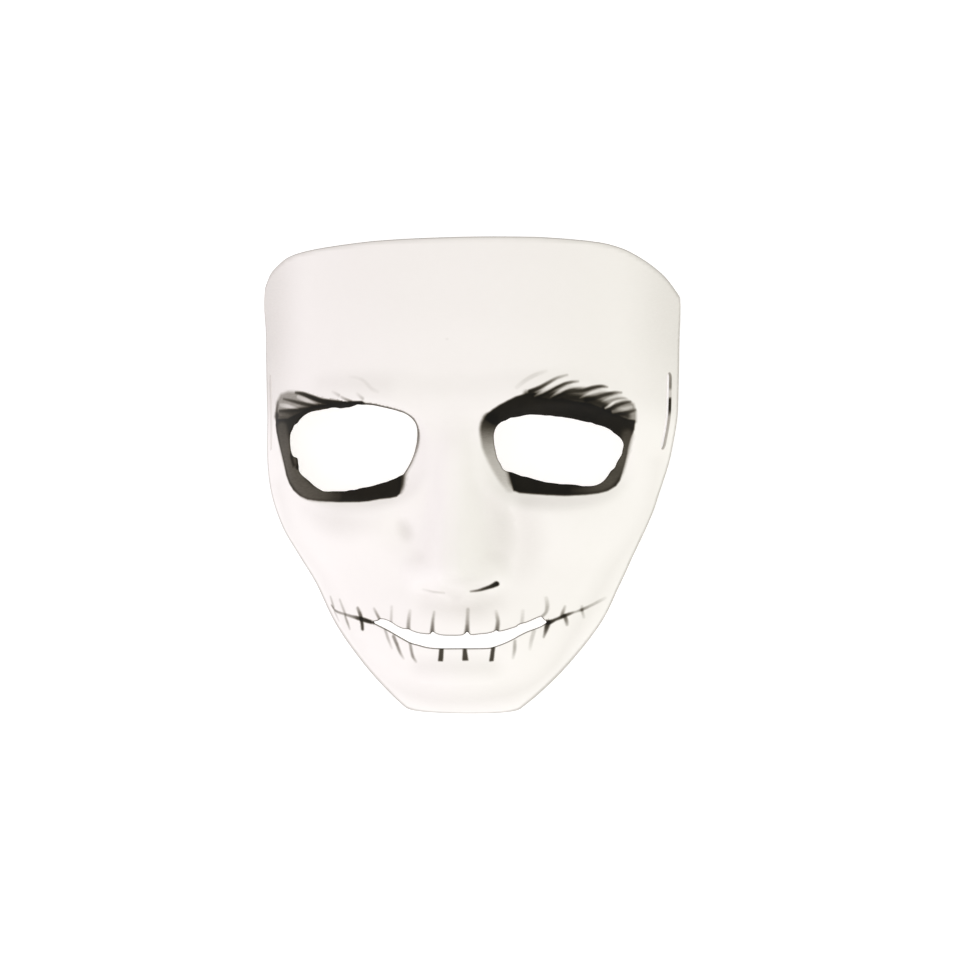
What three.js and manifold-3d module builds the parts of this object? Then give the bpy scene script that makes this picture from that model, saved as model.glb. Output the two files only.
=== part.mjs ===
// A full-face costume mask moulded in one piece from thin white plastic sheet.
// It lies on its back rim with the face up: +X is the viewer's right, +Y the forehead, +Z out of the face.
// Millimetres. The origin is on the surface that the rim rests on, under the middle of the mask's box.

import * as THREE from 'three';
import { mergeVertices } from 'three/addons/utils/BufferGeometryUtils.js';
import Module from 'manifold-3d';

// Driving sizes
const WALL = 1.2;                 // sheet thickness
const SIDE_REACH = 0.94;          // share of each section's full half width that the rim uses: sets the draft
const TOP_CORNER_Y = 66;          // where the side rim starts to turn up into the top edge
const TOP_CORNER_REACH = 34;      // how far up the face it turns
const TOP_CORNER_RISE = 40;       // height over which it turns
const CHIN_RIM_Z = 34.6;          // height of the chin's edge over the resting plane

// Face sections across the mask, from the forehead down. edgeZ is the height at which halfWidth is measured.
// The sheet warped slightly in cooling, so the middle of a section isn't always over the mask's middle.
const SECTIONS = table(['y', 'middleX', 'halfWidth', 'edgeZ', 'frontZ', 'squareness'], [
  [104, -0.1, 89.9, 0.0, 52.0, 2.4],
  [76, -0.1, 89.9, 0.0, 58.5, 2.4],
  [60, 0.1, 89.0, 0.0, 61.3, 2.4],
  [52, 0.0, 88.9, 0.0, 62.0, 2.4],
  [28, 0.0, 88.4, 0.0, 63.0, 2.4],
  [10, -1.4, 87.1, 0.0, 62.0, 2.35],
  [-12, -3.2, 82.3, 0.0, 61.2, 2.25],
  [-22, -2.9, 78.1, 4.0, 61.0, 2.2],
  [-34, -1.4, 71.1, 11.0, 61.0, 2.15],
  [-46, 0.2, 64.1, 17.0, 61.0, 2.1],
  [-60, 0.7, 56.9, 22.0, 61.0, 2.1],
  [-78, 0.7, 43.1, 28.5, 59.0, 2.1],
  [-90, 0.6, 31.2, 32.5, 52.5, 2.1],
  [-96, 0.4, 24.0, 34.5, 42.5, 2.1],
  [-100, 0.3, 19.0, 24.0, 27.0, 2.1],
  [-106, 0.2, 15.0, 2.0, 6.0, 2.1],
]);

// Top edge in plan, trimmed by hand, from left to right
const TOP_TRIM = table(['x', 'y'], [
  [-92, 75.5], [-88, 81.5], [-84, 86], [-79, 89], [-74, 91.3], [-66, 92.8], [-50, 94.2], [-32, 95.4],
  [-12, 96], [10, 96.3], [30, 96.2], [46, 95.55], [58, 94.6], [66, 92.8], [72, 90.2], [78, 86.7],
  [83, 82.9], [88, 77], [92, 71],
]);

// Nose, from between the brows to under the tip: rise over the face and half width at its foot
const NOSE = table(['y', 'rise', 'halfWidth'], [
  [26, 0.0, 9.0],
  [18, 1.2, 9.5],
  [8, 4.0, 11.0],
  [-4, 7.2, 12.5],
  [-18, 11.8, 14.5],
  [-30, 16.6, 16.5],
  [-37, 19.0, 17.5],
  [-41, 16.5, 17.5],
  [-44.5, 8.5, 17.0],
  [-48, 1.8, 16.5],
  [-52, 0.0, 16.0],
]);
const NOSE_RIDGE = 0.06;          // flat share of the nose's half width

// Rounded swellings of the face. One off the middle is repeated on both sides.
const SWELLS = table(['name', 'x', 'y', 'reachX', 'reachY', 'rise'], [
  ['brow', 36, 31, 40, 13, 2.6],
  ['between the brows', 0, 30, 20, 12, 1.2],
  ['cheekbone', 50, -18, 30, 22, 3.4],
  ['round the mouth', 0, -60, 42, 24, 3.0],
  ['wing of the nose', 14.4, -39, 8.5, 9.5, 4.6],
  ['hollow beside the nose', 22, -21, 11, 14, -1.2],
  ['chin', 0, -84, 24, 15, 3.6],
]);

// Eye sockets: rounded dishes round the eye holes, the same on both sides
const SOCKET = { x: 41, y: 8, reachX: 33, reachY: 23, depth: 6.5, roundness: 2.5, floor: 0.2, lip: 1.05 };

// Eye holes in plan, one corner a row, round from the side next to the nose
const LEFT_EYE = table(['x', 'y'], [
  [-15.5, 17], [-20, 24.5], [-36, 28], [-54, 27], [-66, 23], [-71.5, 14], [-68, 1], [-57, -6], [-38, -5],
  [-21, 0.5],
]);
const RIGHT_EYE = table(['x', 'y'], [
  [15, 15], [20, 22], [34, 24.5], [51, 22], [63, 17.5], [66.5, 11], [62, 1], [53, -4.5], [36, -3],
  [19.5, 2.5],
]);

// Mouth slit: two parabolas that meet in blunt corners
const MOUTH = {
  halfLength: 34, cornerX: 35.5, cornerY: -59.6, upperMidY: -63.9, upperRise: 6.2, lowerMidY: -69.6,
};

// Strap slot, cut through each side wall
const SLOT = { y: 27, length: 32, width: 4.4, margin: 8.6 };

// Side rim: it lies flat from its turn at the top down to JAW_TOP_Y, then rises along the jaw to the chin
const JAW_TOP_Y = -12;
const JAW_END_Y = -96;

// Fineness of the shell: spacing of the sections down the face, and cells from edge to edge
const ROW_BANDS = table(['from', 'to', 'spacing'], [
  [104, 34, 10],
  [34, -30, 4.6],
  [-30, -52, 2.75],
  [-52, -104, 4.7],
]);
const COLUMN_CELLS = 40;
const COLUMN_TURN = THREE.MathUtils.degToRad(80);   // how far round its section each row runs
const MIDDLE_FINENESS = 0.6;                        // spacing at the middle, as a share of the mean spacing
const OUTLINE_STEPS = 48;                           // points round an eye hole
const HALF_STEPS = OUTLINE_STEPS / 2;               // points along a jaw, a corner or a lip
const NORMAL_TURN = 0.004;                          // steps over which a wall's slope is taken, in radians
const NORMAL_STEP = 0.2;                            // and in millimetres up the face
const CLEAR = 150;                                  // well outside the mask, for the cutters

// Rows of plain values with their column names
function table(columns, rows) {
  return rows.map((row) => Object.fromEntries(columns.map((name, i) => [name, row[i]])));
}

// A smooth curve through one column of a table against y, that never overshoots its rows
function smoothColumn(rows, column) {
  const sorted = [...rows].sort((a, b) => a.y - b.y);
  const y = sorted.map((row) => row.y);
  const value = sorted.map((row) => row[column]);
  const last = y.length - 1;
  const step = y.slice(1).map((next, i) => next - y[i]);
  const rate = step.map((length, i) => (value[i + 1] - value[i]) / length);
  const slope = y.map((_, i) => {
    if (i === 0) return rate[0];
    if (i === last) return rate[last - 1];
    if (rate[i - 1] * rate[i] <= 0) return 0;
    const before = 2 * step[i] + step[i - 1];
    const after = step[i] + 2 * step[i - 1];
    return (before + after) / (before / rate[i - 1] + after / rate[i]);
  });
  return (at) => {
    const t = THREE.MathUtils.clamp(at, y[0], y[last]);
    let i = 0;
    while (i < last - 1 && t > y[i + 1]) i += 1;
    const s = (t - y[i]) / step[i];
    const r = 1 - s;
    const ends = (1 + 2 * s) * r * r * value[i] + (3 - 2 * s) * s * s * value[i + 1];
    const turns = s * r * step[i] * (r * slope[i] - s * slope[i + 1]);
    return ends + turns;
  };
}

const section = {
  middleX: smoothColumn(SECTIONS, 'middleX'),
  halfWidth: smoothColumn(SECTIONS, 'halfWidth'),
  edgeZ: smoothColumn(SECTIONS, 'edgeZ'),
  frontZ: smoothColumn(SECTIONS, 'frontZ'),
  squareness: smoothColumn(SECTIONS, 'squareness'),
};
const nose = { rise: smoothColumn(NOSE, 'rise'), halfWidth: smoothColumn(NOSE, 'halfWidth') };

// The bare curved section of the face at height y, before its features
function domeHeight(x, y) {
  const power = section.squareness(y);
  const drop = (1 - SIDE_REACH ** power) ** (1 / power);
  const frontZ = section.frontZ(y);
  const baseZ = (section.edgeZ(y) - frontZ * drop) / (1 - drop);
  const across = Math.abs(x - section.middleX(y)) * SIDE_REACH / section.halfWidth(y);
  return baseZ + (frontZ - baseZ) * (1 - across ** power) ** (1 / power);
}

function swellHeight(swell, x, y) {
  const near = ((Math.abs(x) - swell.x) / swell.reachX) ** 2 + ((y - swell.y) / swell.reachY) ** 2;
  return swell.rise * Math.max(0, 1 - near) ** 2;
}

function noseHeight(x, y) {
  return nose.rise(y) * (1 - THREE.MathUtils.smootherstep(Math.abs(x) / nose.halfWidth(y), NOSE_RIDGE, 1));
}

function socketDepth(x, y) {
  const across = Math.abs(Math.abs(x) - SOCKET.x) / SOCKET.reachX;
  const along = Math.abs(y - SOCKET.y) / SOCKET.reachY;
  const out = across ** SOCKET.roundness + along ** SOCKET.roundness;
  return SOCKET.depth * (1 - THREE.MathUtils.smootherstep(out, SOCKET.floor, SOCKET.lip));
}

// Outer face of the mask over the plan
function faceHeight(x, y) {
  const swells = SWELLS.reduce((sum, swell) => sum + swellHeight(swell, x, y), 0);
  return domeHeight(x, y) + swells + noseHeight(x, y) - socketDepth(x, y);
}

// A point of the outer face, by its turn round the section at y
function facePoint(turn, y) {
  const x = section.middleX(y) + Math.sin(turn) * section.halfWidth(y) / SIDE_REACH;
  return new THREE.Vector3(x, y, faceHeight(x, y));
}

function faceNormal(turn, y) {
  const across = facePoint(turn + NORMAL_TURN, y).sub(facePoint(turn - NORMAL_TURN, y));
  const along = facePoint(turn, y + NORMAL_STEP).sub(facePoint(turn, y - NORMAL_STEP));
  return across.cross(along).normalize();
}

// A line of values for the grid, spaced as the bands say
function rowHeights() {
  const rows = [ROW_BANDS[0].from];
  for (const band of ROW_BANDS) {
    const count = Math.round((band.from - band.to) / band.spacing);
    for (let i = 1; i <= count; i += 1) rows.push(band.from + (band.to - band.from) * i / count);
  }
  return rows;
}

function columnTurns() {
  return Array.from({ length: COLUMN_CELLS + 1 }, (_, i) => {
    const s = 2 * i / COLUMN_CELLS - 1;
    return COLUMN_TURN * (MIDDLE_FINENESS * s + (1 - MIDDLE_FINENESS) * s ** 3);
  });
}

// The untrimmed shell: an outer sheet, the same sheet one wall further in, and a band that closes their edges
function shellGeometry() {
  const rows = rowHeights();
  const turns = columnTurns();
  const width = turns.length;
  const sheet = rows.length * width;
  const outer = [];
  const inner = [];
  for (const y of rows) {
    for (const turn of turns) {
      const point = facePoint(turn, y);
      outer.push(...point.toArray());
      inner.push(...point.addScaledVector(faceNormal(turn, y), -WALL).toArray());
    }
  }
  const triangles = [];
  const quad = (a, b, c, d) => triangles.push(a, b, c, a, c, d);
  for (let r = 0; r + 1 < rows.length; r += 1) {
    for (let c = 0; c + 1 < width; c += 1) {
      const [a, b] = [r * width + c, r * width + c + 1];
      const [d, e] = [a + width, b + width];
      quad(a, d, e, b);
      quad(a + sheet, b + sheet, e + sheet, d + sheet);
    }
  }
  for (let c = 0; c + 1 < width; c += 1) {
    const bottom = (rows.length - 1) * width + c;
    quad(c, c + 1, c + 1 + sheet, c + sheet);
    quad(bottom + 1, bottom, bottom + sheet, bottom + 1 + sheet);
  }
  for (let r = 0; r + 1 < rows.length; r += 1) {
    const left = r * width;
    const right = left + width - 1;
    quad(left + width, left, left + sheet, left + width + sheet);
    quad(right, right + width, right + width + sheet, right + sheet);
  }
  const geometry = new THREE.BufferGeometry();
  geometry.setAttribute('position', new THREE.Float32BufferAttribute([...outer, ...inner], 3));
  geometry.setIndex(triangles);
  return geometry;
}

// A flat outline pushed through the mask from front to back
function throughFace(shape) {
  const geometry = new THREE.ExtrudeGeometry(shape, { depth: 2 * CLEAR, bevelEnabled: false });
  return geometry.translate(0, 0, -CLEAR);
}

// A side-view outline, drawn in y and z, pushed through the mask from side to side
function throughSides(shape) {
  const geometry = throughFace(shape);
  const alongY = new THREE.Vector3(0, 1, 0);
  const alongZ = new THREE.Vector3(0, 0, 1);
  const alongX = new THREE.Vector3(1, 0, 0);
  return geometry.applyMatrix4(new THREE.Matrix4().makeBasis(alongY, alongZ, alongX));
}

// The mask's side view: chin, jaw, straight resting rim and the corner where it turns up.
// What lies outside is trimmed.
function sideProfile() {
  const points = [new THREE.Vector2(-CLEAR, CHIN_RIM_Z)];
  for (let i = 0; i <= HALF_STEPS; i += 1) {
    const y = JAW_END_Y + (JAW_TOP_Y - JAW_END_Y) * i / HALF_STEPS;
    points.push(new THREE.Vector2(y, section.edgeZ(y)));
  }
  for (let i = 0; i <= HALF_STEPS; i += 1) {
    const turn = Math.PI / 2 * i / HALF_STEPS;
    const y = TOP_CORNER_Y + TOP_CORNER_REACH * Math.sin(turn);
    points.push(new THREE.Vector2(y, TOP_CORNER_RISE * (1 - Math.cos(turn))));
  }
  points.push(new THREE.Vector2(TOP_CORNER_Y + TOP_CORNER_REACH, CLEAR), new THREE.Vector2(-CLEAR, CLEAR));
  return new THREE.Shape(points);
}

// Everything below the top edge, in plan
function belowTopEdge() {
  const trim = new THREE.SplineCurve(TOP_TRIM.map((at) => new THREE.Vector2(at.x, at.y)));
  const edge = trim.getPoints(2 * OUTLINE_STEPS);
  const ends = [new THREE.Vector2(CLEAR, -CLEAR), new THREE.Vector2(-CLEAR, -CLEAR)];
  return new THREE.Shape([...edge, ...ends]);
}

function eyeShape(corners) {
  const loop = new THREE.CatmullRomCurve3(corners.map((at) => new THREE.Vector3(at.x, at.y, 0)), true);
  const points = loop.getPoints(OUTLINE_STEPS).slice(0, -1);
  return new THREE.Shape(points.map((at) => new THREE.Vector2(at.x, at.y)));
}

function mouthShape() {
  const upper = [];
  const lower = [];
  for (let i = 0; i <= HALF_STEPS; i += 1) {
    const s = 2 * i / HALF_STEPS - 1;
    const lowerX = s * MOUTH.cornerX;
    upper.push(new THREE.Vector2(s * MOUTH.halfLength, MOUTH.upperMidY + MOUTH.upperRise * s * s));
    lower.push(new THREE.Vector2(lowerX, MOUTH.lowerMidY + (MOUTH.cornerY - MOUTH.lowerMidY) * s * s));
  }
  return new THREE.Shape([...upper, ...lower.reverse()]);
}

function slotShape() {
  const radius = SLOT.width / 2;
  const middleZ = SLOT.margin + radius;
  const half = SLOT.length / 2 - radius;
  const shape = new THREE.Shape();
  shape.absarc(SLOT.y + half, middleZ, radius, -Math.PI / 2, Math.PI / 2);
  shape.absarc(SLOT.y - half, middleZ, radius, Math.PI / 2, 3 * Math.PI / 2);
  return shape;
}

const wasm = await Module();
wasm.setup();

function solid(geometry) {
  const bare = geometry.clone();
  bare.deleteAttribute('normal');
  bare.deleteAttribute('uv');
  const merged = mergeVertices(bare, 1e-4);
  const vertProperties = new Float32Array(merged.attributes.position.array);
  const triVerts = new Uint32Array(merged.index.array);
  return new wasm.Manifold(new wasm.Mesh({ numProp: 3, vertProperties, triVerts }));
}

function solidGeometry(body) {
  const mesh = body.getMesh();
  const geometry = new THREE.BufferGeometry();
  geometry.setAttribute('position', new THREE.Float32BufferAttribute(mesh.vertProperties, 3));
  geometry.setIndex(Array.from(mesh.triVerts));
  geometry.computeVertexNormals();
  return geometry;
}

function maskShell() {
  const cuts = [eyeShape(LEFT_EYE), eyeShape(RIGHT_EYE), mouthShape()].map(throughFace);
  const sides = solid(shellGeometry()).intersect(solid(throughSides(sideProfile())));
  const trimmed = sides.intersect(solid(throughFace(belowTopEdge())));
  const pierced = cuts.reduce((body, cut) => body.subtract(solid(cut)), trimmed);
  const slotted = pierced.subtract(solid(throughSides(slotShape())));
  const plastic = new THREE.MeshStandardMaterial({ color: 0xf3efea, roughness: 0.45, metalness: 0 });
  const mesh = new THREE.Mesh(solidGeometry(slotted), plastic);
  mesh.name = 'mask_shell';
  const middle = new THREE.Box3().setFromObject(mesh).getCenter(new THREE.Vector3());
  mesh.position.y = -middle.y;
  return mesh;
}

const mask = new THREE.Group();
mask.add(maskShell());

export default mask;
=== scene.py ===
# %% [markdown]
# A moulded party mask, step by step. The real thing is one thin sheet of white plastic, drawn over a mould,
# trimmed, pierced and then painted by hand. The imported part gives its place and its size. This lesson
# builds the same sheet finely enough for close views, rounds its cut edges and paints it. The tables are in
# millimetres, and the mesh is made in metres.

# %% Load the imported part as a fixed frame
import math

import bpy
import numpy as np
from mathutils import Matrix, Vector, kdtree
from mathutils.geometry import delaunay_2d_cdt


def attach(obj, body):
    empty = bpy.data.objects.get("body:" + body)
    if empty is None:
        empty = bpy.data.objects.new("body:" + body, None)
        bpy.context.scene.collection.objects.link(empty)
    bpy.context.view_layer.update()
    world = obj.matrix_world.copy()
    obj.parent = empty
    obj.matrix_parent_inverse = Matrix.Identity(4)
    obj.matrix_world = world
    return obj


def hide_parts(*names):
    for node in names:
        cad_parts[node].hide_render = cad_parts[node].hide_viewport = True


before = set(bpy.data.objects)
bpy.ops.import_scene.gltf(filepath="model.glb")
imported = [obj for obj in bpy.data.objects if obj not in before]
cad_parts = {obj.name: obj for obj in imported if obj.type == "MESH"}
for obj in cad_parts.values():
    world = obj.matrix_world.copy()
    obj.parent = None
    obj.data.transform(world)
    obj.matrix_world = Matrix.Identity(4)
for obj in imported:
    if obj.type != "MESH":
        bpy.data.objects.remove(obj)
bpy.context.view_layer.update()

MM = 0.001

# %% [markdown]
# The face is a height over its plan. Sections across the mask give its width, its front and how square each
# one is, from the forehead down to the chin. A smooth curve through each column fills in what lies between
# the rows. Sculpting by hand would also do, but a table can be read, measured and corrected, and it matches
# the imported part.

# %% The bare curve of the face
SIDE_REACH = 0.94
WIDEST = 0.99999  # just short of 1, where the curve's slope has no end


def table(names, rows):
    values = np.array(rows, float)
    return {name: values[:, column] for column, name in enumerate(names.split())}


SECTIONS = table("y middle_x half_width edge_z front_z squareness", [
    [104, -0.1, 89.9, 0.0, 52.0, 2.4],
    [76, -0.1, 89.9, 0.0, 58.5, 2.4],
    [60, 0.1, 89.0, 0.0, 61.3, 2.4],
    [52, 0.0, 88.9, 0.0, 62.0, 2.4],
    [28, 0.0, 88.4, 0.0, 63.0, 2.4],
    [10, -1.4, 87.1, 0.0, 62.0, 2.35],
    [-12, -3.2, 82.3, 0.0, 61.2, 2.25],
    [-22, -2.9, 78.1, 4.0, 61.0, 2.2],
    [-34, -1.4, 71.1, 11.0, 61.0, 2.15],
    [-46, 0.2, 64.1, 17.0, 61.0, 2.1],
    [-60, 0.7, 56.9, 22.0, 61.0, 2.1],
    [-78, 0.7, 43.1, 28.5, 59.0, 2.1],
    [-90, 0.6, 31.2, 32.5, 52.5, 2.1],
    [-96, 0.4, 24.0, 34.5, 42.5, 2.1],
    [-100, 0.3, 19.0, 24.0, 27.0, 2.1],
    [-106, 0.2, 15.0, 2.0, 6.0, 2.1],
])


def smooth_column(rows, name, over="y"):
    """A curve through one column of a table against another, that never overshoots its rows."""
    order = np.argsort(rows[over])
    y = rows[over][order]
    value = rows[name][order]
    step = np.diff(y)
    rate = np.diff(value) / step
    slope = np.zeros(len(y))
    slope[0] = rate[0]
    slope[-1] = rate[-1]
    for i in range(1, len(y) - 1):
        if rate[i - 1] * rate[i] > 0:
            before = 2 * step[i] + step[i - 1]
            after = step[i] + 2 * step[i - 1]
            slope[i] = (before + after) / (before / rate[i - 1] + after / rate[i])

    def at(where):
        t = np.clip(where, y[0], y[-1])
        i = np.clip(np.searchsorted(y, t) - 1, 0, len(step) - 1)
        s = (t - y[i]) / step[i]
        r = 1 - s
        ends = (1 + 2 * s) * r * r * value[i] + (3 - 2 * s) * s * s * value[i + 1]
        turns = s * r * step[i] * (r * slope[i] - s * slope[i + 1])
        return ends + turns

    return at


middle_x = smooth_column(SECTIONS, "middle_x")
half_width = smooth_column(SECTIONS, "half_width")
edge_height = smooth_column(SECTIONS, "edge_z")
front_height = smooth_column(SECTIONS, "front_z")
squareness = smooth_column(SECTIONS, "squareness")


def dome_height(x, y):
    power = squareness(y)
    drop = (1 - SIDE_REACH ** power) ** (1 / power)
    front = front_height(y)
    base = (edge_height(y) - front * drop) / (1 - drop)
    across = np.minimum(np.abs(x - middle_x(y)) * SIDE_REACH / half_width(y), WIDEST)
    return base + (front - base) * (1 - across ** power) ** (1 / power)


print("height at the middle of the forehead, mm:", round(float(dome_height(0.0, 60.0)), 2))

# %% [markdown]
# A face needs a nose, brows, cheekbones and sunken eyes. Each is a rounded swelling or a dish added to the
# bare curve. Small dents follow the photograph: one beside the nose, where the sheet was pressed, and the
# two nostrils. Adding heights is the simplest way to sculpt by numbers, because each feature can be moved
# without touching the rest.

# %% Nose, brows, cheeks, eye sockets and small dents
NOSE = table("y rise half_width", [
    [26, 0.0, 9.0], [18, 1.2, 9.5], [8, 4.0, 11.0], [-4, 7.2, 12.5], [-18, 11.8, 14.5], [-30, 16.6, 16.5],
    [-37, 19.0, 17.5], [-41, 16.5, 17.5], [-44.5, 8.5, 17.0], [-48, 1.8, 16.5], [-52, 0.0, 16.0],
])
NOSE_RIDGE = 0.06
SWELLS = {  # middle x and y, reach across and along, rise; each is repeated on both sides
    "brow": (36, 31, 40, 13, 2.6),
    "between the brows": (0, 30, 20, 12, 1.2),
    "cheekbone": (50, -18, 30, 22, 3.4),
    "round the mouth": (0, -60, 42, 24, 3.0),
    "wing of the nose": (14.4, -39, 8.5, 9.5, 4.6),
    "hollow beside the nose": (22, -21, 11, 14, -1.2),
    "chin": (0, -84, 24, 15, 3.6),
}
SOCKET_MIDDLE = (41, 8)
SOCKET_REACH = (33, 23)
SOCKET_DEPTH = 6.5
SOCKET_ROUNDNESS = 2.5
SOCKET_FLOOR = 0.2
SOCKET_LIP = 1.05
PRESSED_DENT = (-20.1, -21.2, 5.5, 7.5, -0.8)
NOSTRILS = {  # the path of each dent and its depth
    "right": ([(7.0, -46.1), (12.4, -45.0), (17.0, -43.0)], 0.9),
    "left": ([(-12.6, -45.1), (-8.4, -46.6), (-3.8, -46.9)], 0.35),
}
NOSTRIL_SPREAD = 1.0

nose_rise = smooth_column(NOSE, "rise")
nose_half_width = smooth_column(NOSE, "half_width")


def ease(value, start, end):
    """From 0 at start to 1 at end, with no jump in slope or curve."""
    s = np.clip((value - start) / (end - start), 0, 1)
    return s ** 3 * (s * (6 * s - 15) + 10)


def rounded_bump(x, y, shape):
    middle_x, middle_y, reach_x, reach_y, rise = shape
    near = ((x - middle_x) / reach_x) ** 2 + ((y - middle_y) / reach_y) ** 2
    return rise * np.clip(1 - near, 0, 1) ** 2


def distance_to_path(x, y, path):
    """How far each point of the plan is from a path of straight pieces."""
    nearest = np.full(np.shape(x), np.inf)
    for (ax, ay), (bx, by) in zip(path[:-1], path[1:]):
        along = ((x - ax) * (bx - ax) + (y - ay) * (by - ay)) / ((bx - ax) ** 2 + (by - ay) ** 2)
        along = np.clip(along, 0, 1)
        away = np.hypot(x - ax - along * (bx - ax), y - ay - along * (by - ay))
        nearest = np.minimum(nearest, away)
    return nearest


def face_height(x, y):
    height = dome_height(x, y)
    for shape in SWELLS.values():
        height = height + rounded_bump(np.abs(x), y, shape)
    height = height + nose_rise(y) * (1 - ease(np.abs(x) / nose_half_width(y), NOSE_RIDGE, 1))
    across = np.abs(np.abs(x) - SOCKET_MIDDLE[0]) / SOCKET_REACH[0]
    along = np.abs(y - SOCKET_MIDDLE[1]) / SOCKET_REACH[1]
    out = across ** SOCKET_ROUNDNESS + along ** SOCKET_ROUNDNESS
    height = height - SOCKET_DEPTH * (1 - ease(out, SOCKET_FLOOR, SOCKET_LIP))
    height = height + rounded_bump(x, y, PRESSED_DENT)
    for path, depth in NOSTRILS.values():
        height = height - depth * np.exp(-0.5 * (distance_to_path(x, y, path) / NOSTRIL_SPREAD) ** 2)
    return height


print("tip of the nose, mm:", round(float(face_height(0.0, -37.0)), 2))

# %% [markdown]
# A plan is a poor place to cut the mesh from, because the side walls stand almost upright over it. So each
# point is named by its turn round the section and its y, and the sheet is unrolled from these: lengths on
# the unrolled sheet are close to lengths on the face, and triangles stay even when it is rolled up again.

# %% Unroll the sheet and roll it up again
TURN_STEP = 0.004
UP_STEP = 0.2
LENGTH_ROWS = 2101

length_y = np.linspace(SECTIONS["y"].min(), SECTIONS["y"].max(), LENGTH_ROWS)
length_z = dome_height(0.0, length_y)
length_along = np.concatenate([[0], np.cumsum(np.hypot(np.diff(length_y), np.diff(length_z)))])


def full_width(y):
    return half_width(y) / SIDE_REACH


def face_point(turn, y):
    x = middle_x(y) + np.sin(turn) * full_width(y)
    return np.stack([x, y, face_height(x, y)], -1)


def unit(vectors):
    return vectors / np.linalg.norm(vectors, axis=-1, keepdims=True)


def face_normal(turn, y):
    across = face_point(turn + TURN_STEP, y) - face_point(turn - TURN_STEP, y)
    up = face_point(turn, y + UP_STEP) - face_point(turn, y - UP_STEP)
    return unit(np.cross(across, up))


def turn_of(x, y):
    return np.arcsin(np.clip((x - middle_x(y)) / full_width(y), -1, 1))


def unroll(turn, y):
    return np.stack([turn * full_width(y), np.interp(y, length_y, length_along)], -1)


def roll_up(flat):
    y = np.interp(flat[:, 1], length_along, length_y)
    return flat[:, 0] / full_width(y), y


print("unrolled height of the face, mm:", round(float(length_along[-1]), 1))

# %% [markdown]
# The sheet is trimmed along its side view: a straight back rim that the mask rests on, a rounded corner up
# to the top edge, and a jaw line that climbs to the chin. Each trimmed point keeps the direction that the
# cut faces, because the cut wall has to stand square to the trim and not square to the sheet.

# %% The trimmed rim
WALL = 1.2
TOP_CORNER_Y = 66.0
TOP_CORNER_REACH = 34.0
TOP_CORNER_RISE = 40.0
TOP_TRIM = table("x y", [
    [-92, 75.5], [-88, 81.5], [-84, 86.0], [-79, 89.0], [-74, 91.3], [-66, 92.8], [-50, 94.2], [-32, 95.4],
    [-12, 96.0], [10, 96.3], [30, 96.2], [46, 95.55], [58, 94.6], [66, 92.8], [72, 90.2], [78, 86.7],
    [83, 82.9], [88, 77.0], [92, 71.0],
])
JAW_END_Y = -96.0
CHIN_RIM_Z = 34.6
CHIN_SEARCH = 6.0
RIM_SPACING = 0.8
RIM_TURN = math.asin(SIDE_REACH)
JAW_ROWS = 320
TOP_COLUMNS = 400
ON_CORNER = 0.01
HALVINGS = 40
FEWEST_POINTS = 8


def halve(low, high, is_low):
    """The place between low and high where is_low stops being true, by halving."""
    low = np.array(low, float)
    high = np.array(high, float)
    for _ in range(HALVINGS):
        middle = (low + high) / 2
        keep = is_low(middle)
        low = np.where(keep, middle, low)
        high = np.where(keep, high, middle)
    return (low + high) / 2


def evenly(loop, lengths_in, spacing):
    """A closed loop of rows, with points a given distance apart, measured over its first columns."""
    closed = np.vstack([loop, loop[:1]])
    run = np.linalg.norm(np.diff(closed[:, :lengths_in], axis=0), axis=1)
    run = np.concatenate([[0], np.cumsum(run)])
    count = max(FEWEST_POINTS, round(run[-1] / spacing))
    places = np.arange(count) * run[-1] / count
    return np.stack([np.interp(places, run, column) for column in closed.T], -1)


top_trim = smooth_column(TOP_TRIM, "y", "x")


def top_profile(y):
    sine = np.clip((y - TOP_CORNER_Y) / TOP_CORNER_REACH, 0, 1)
    return TOP_CORNER_RISE * (1 - np.sqrt(1 - sine ** 2))


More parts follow.
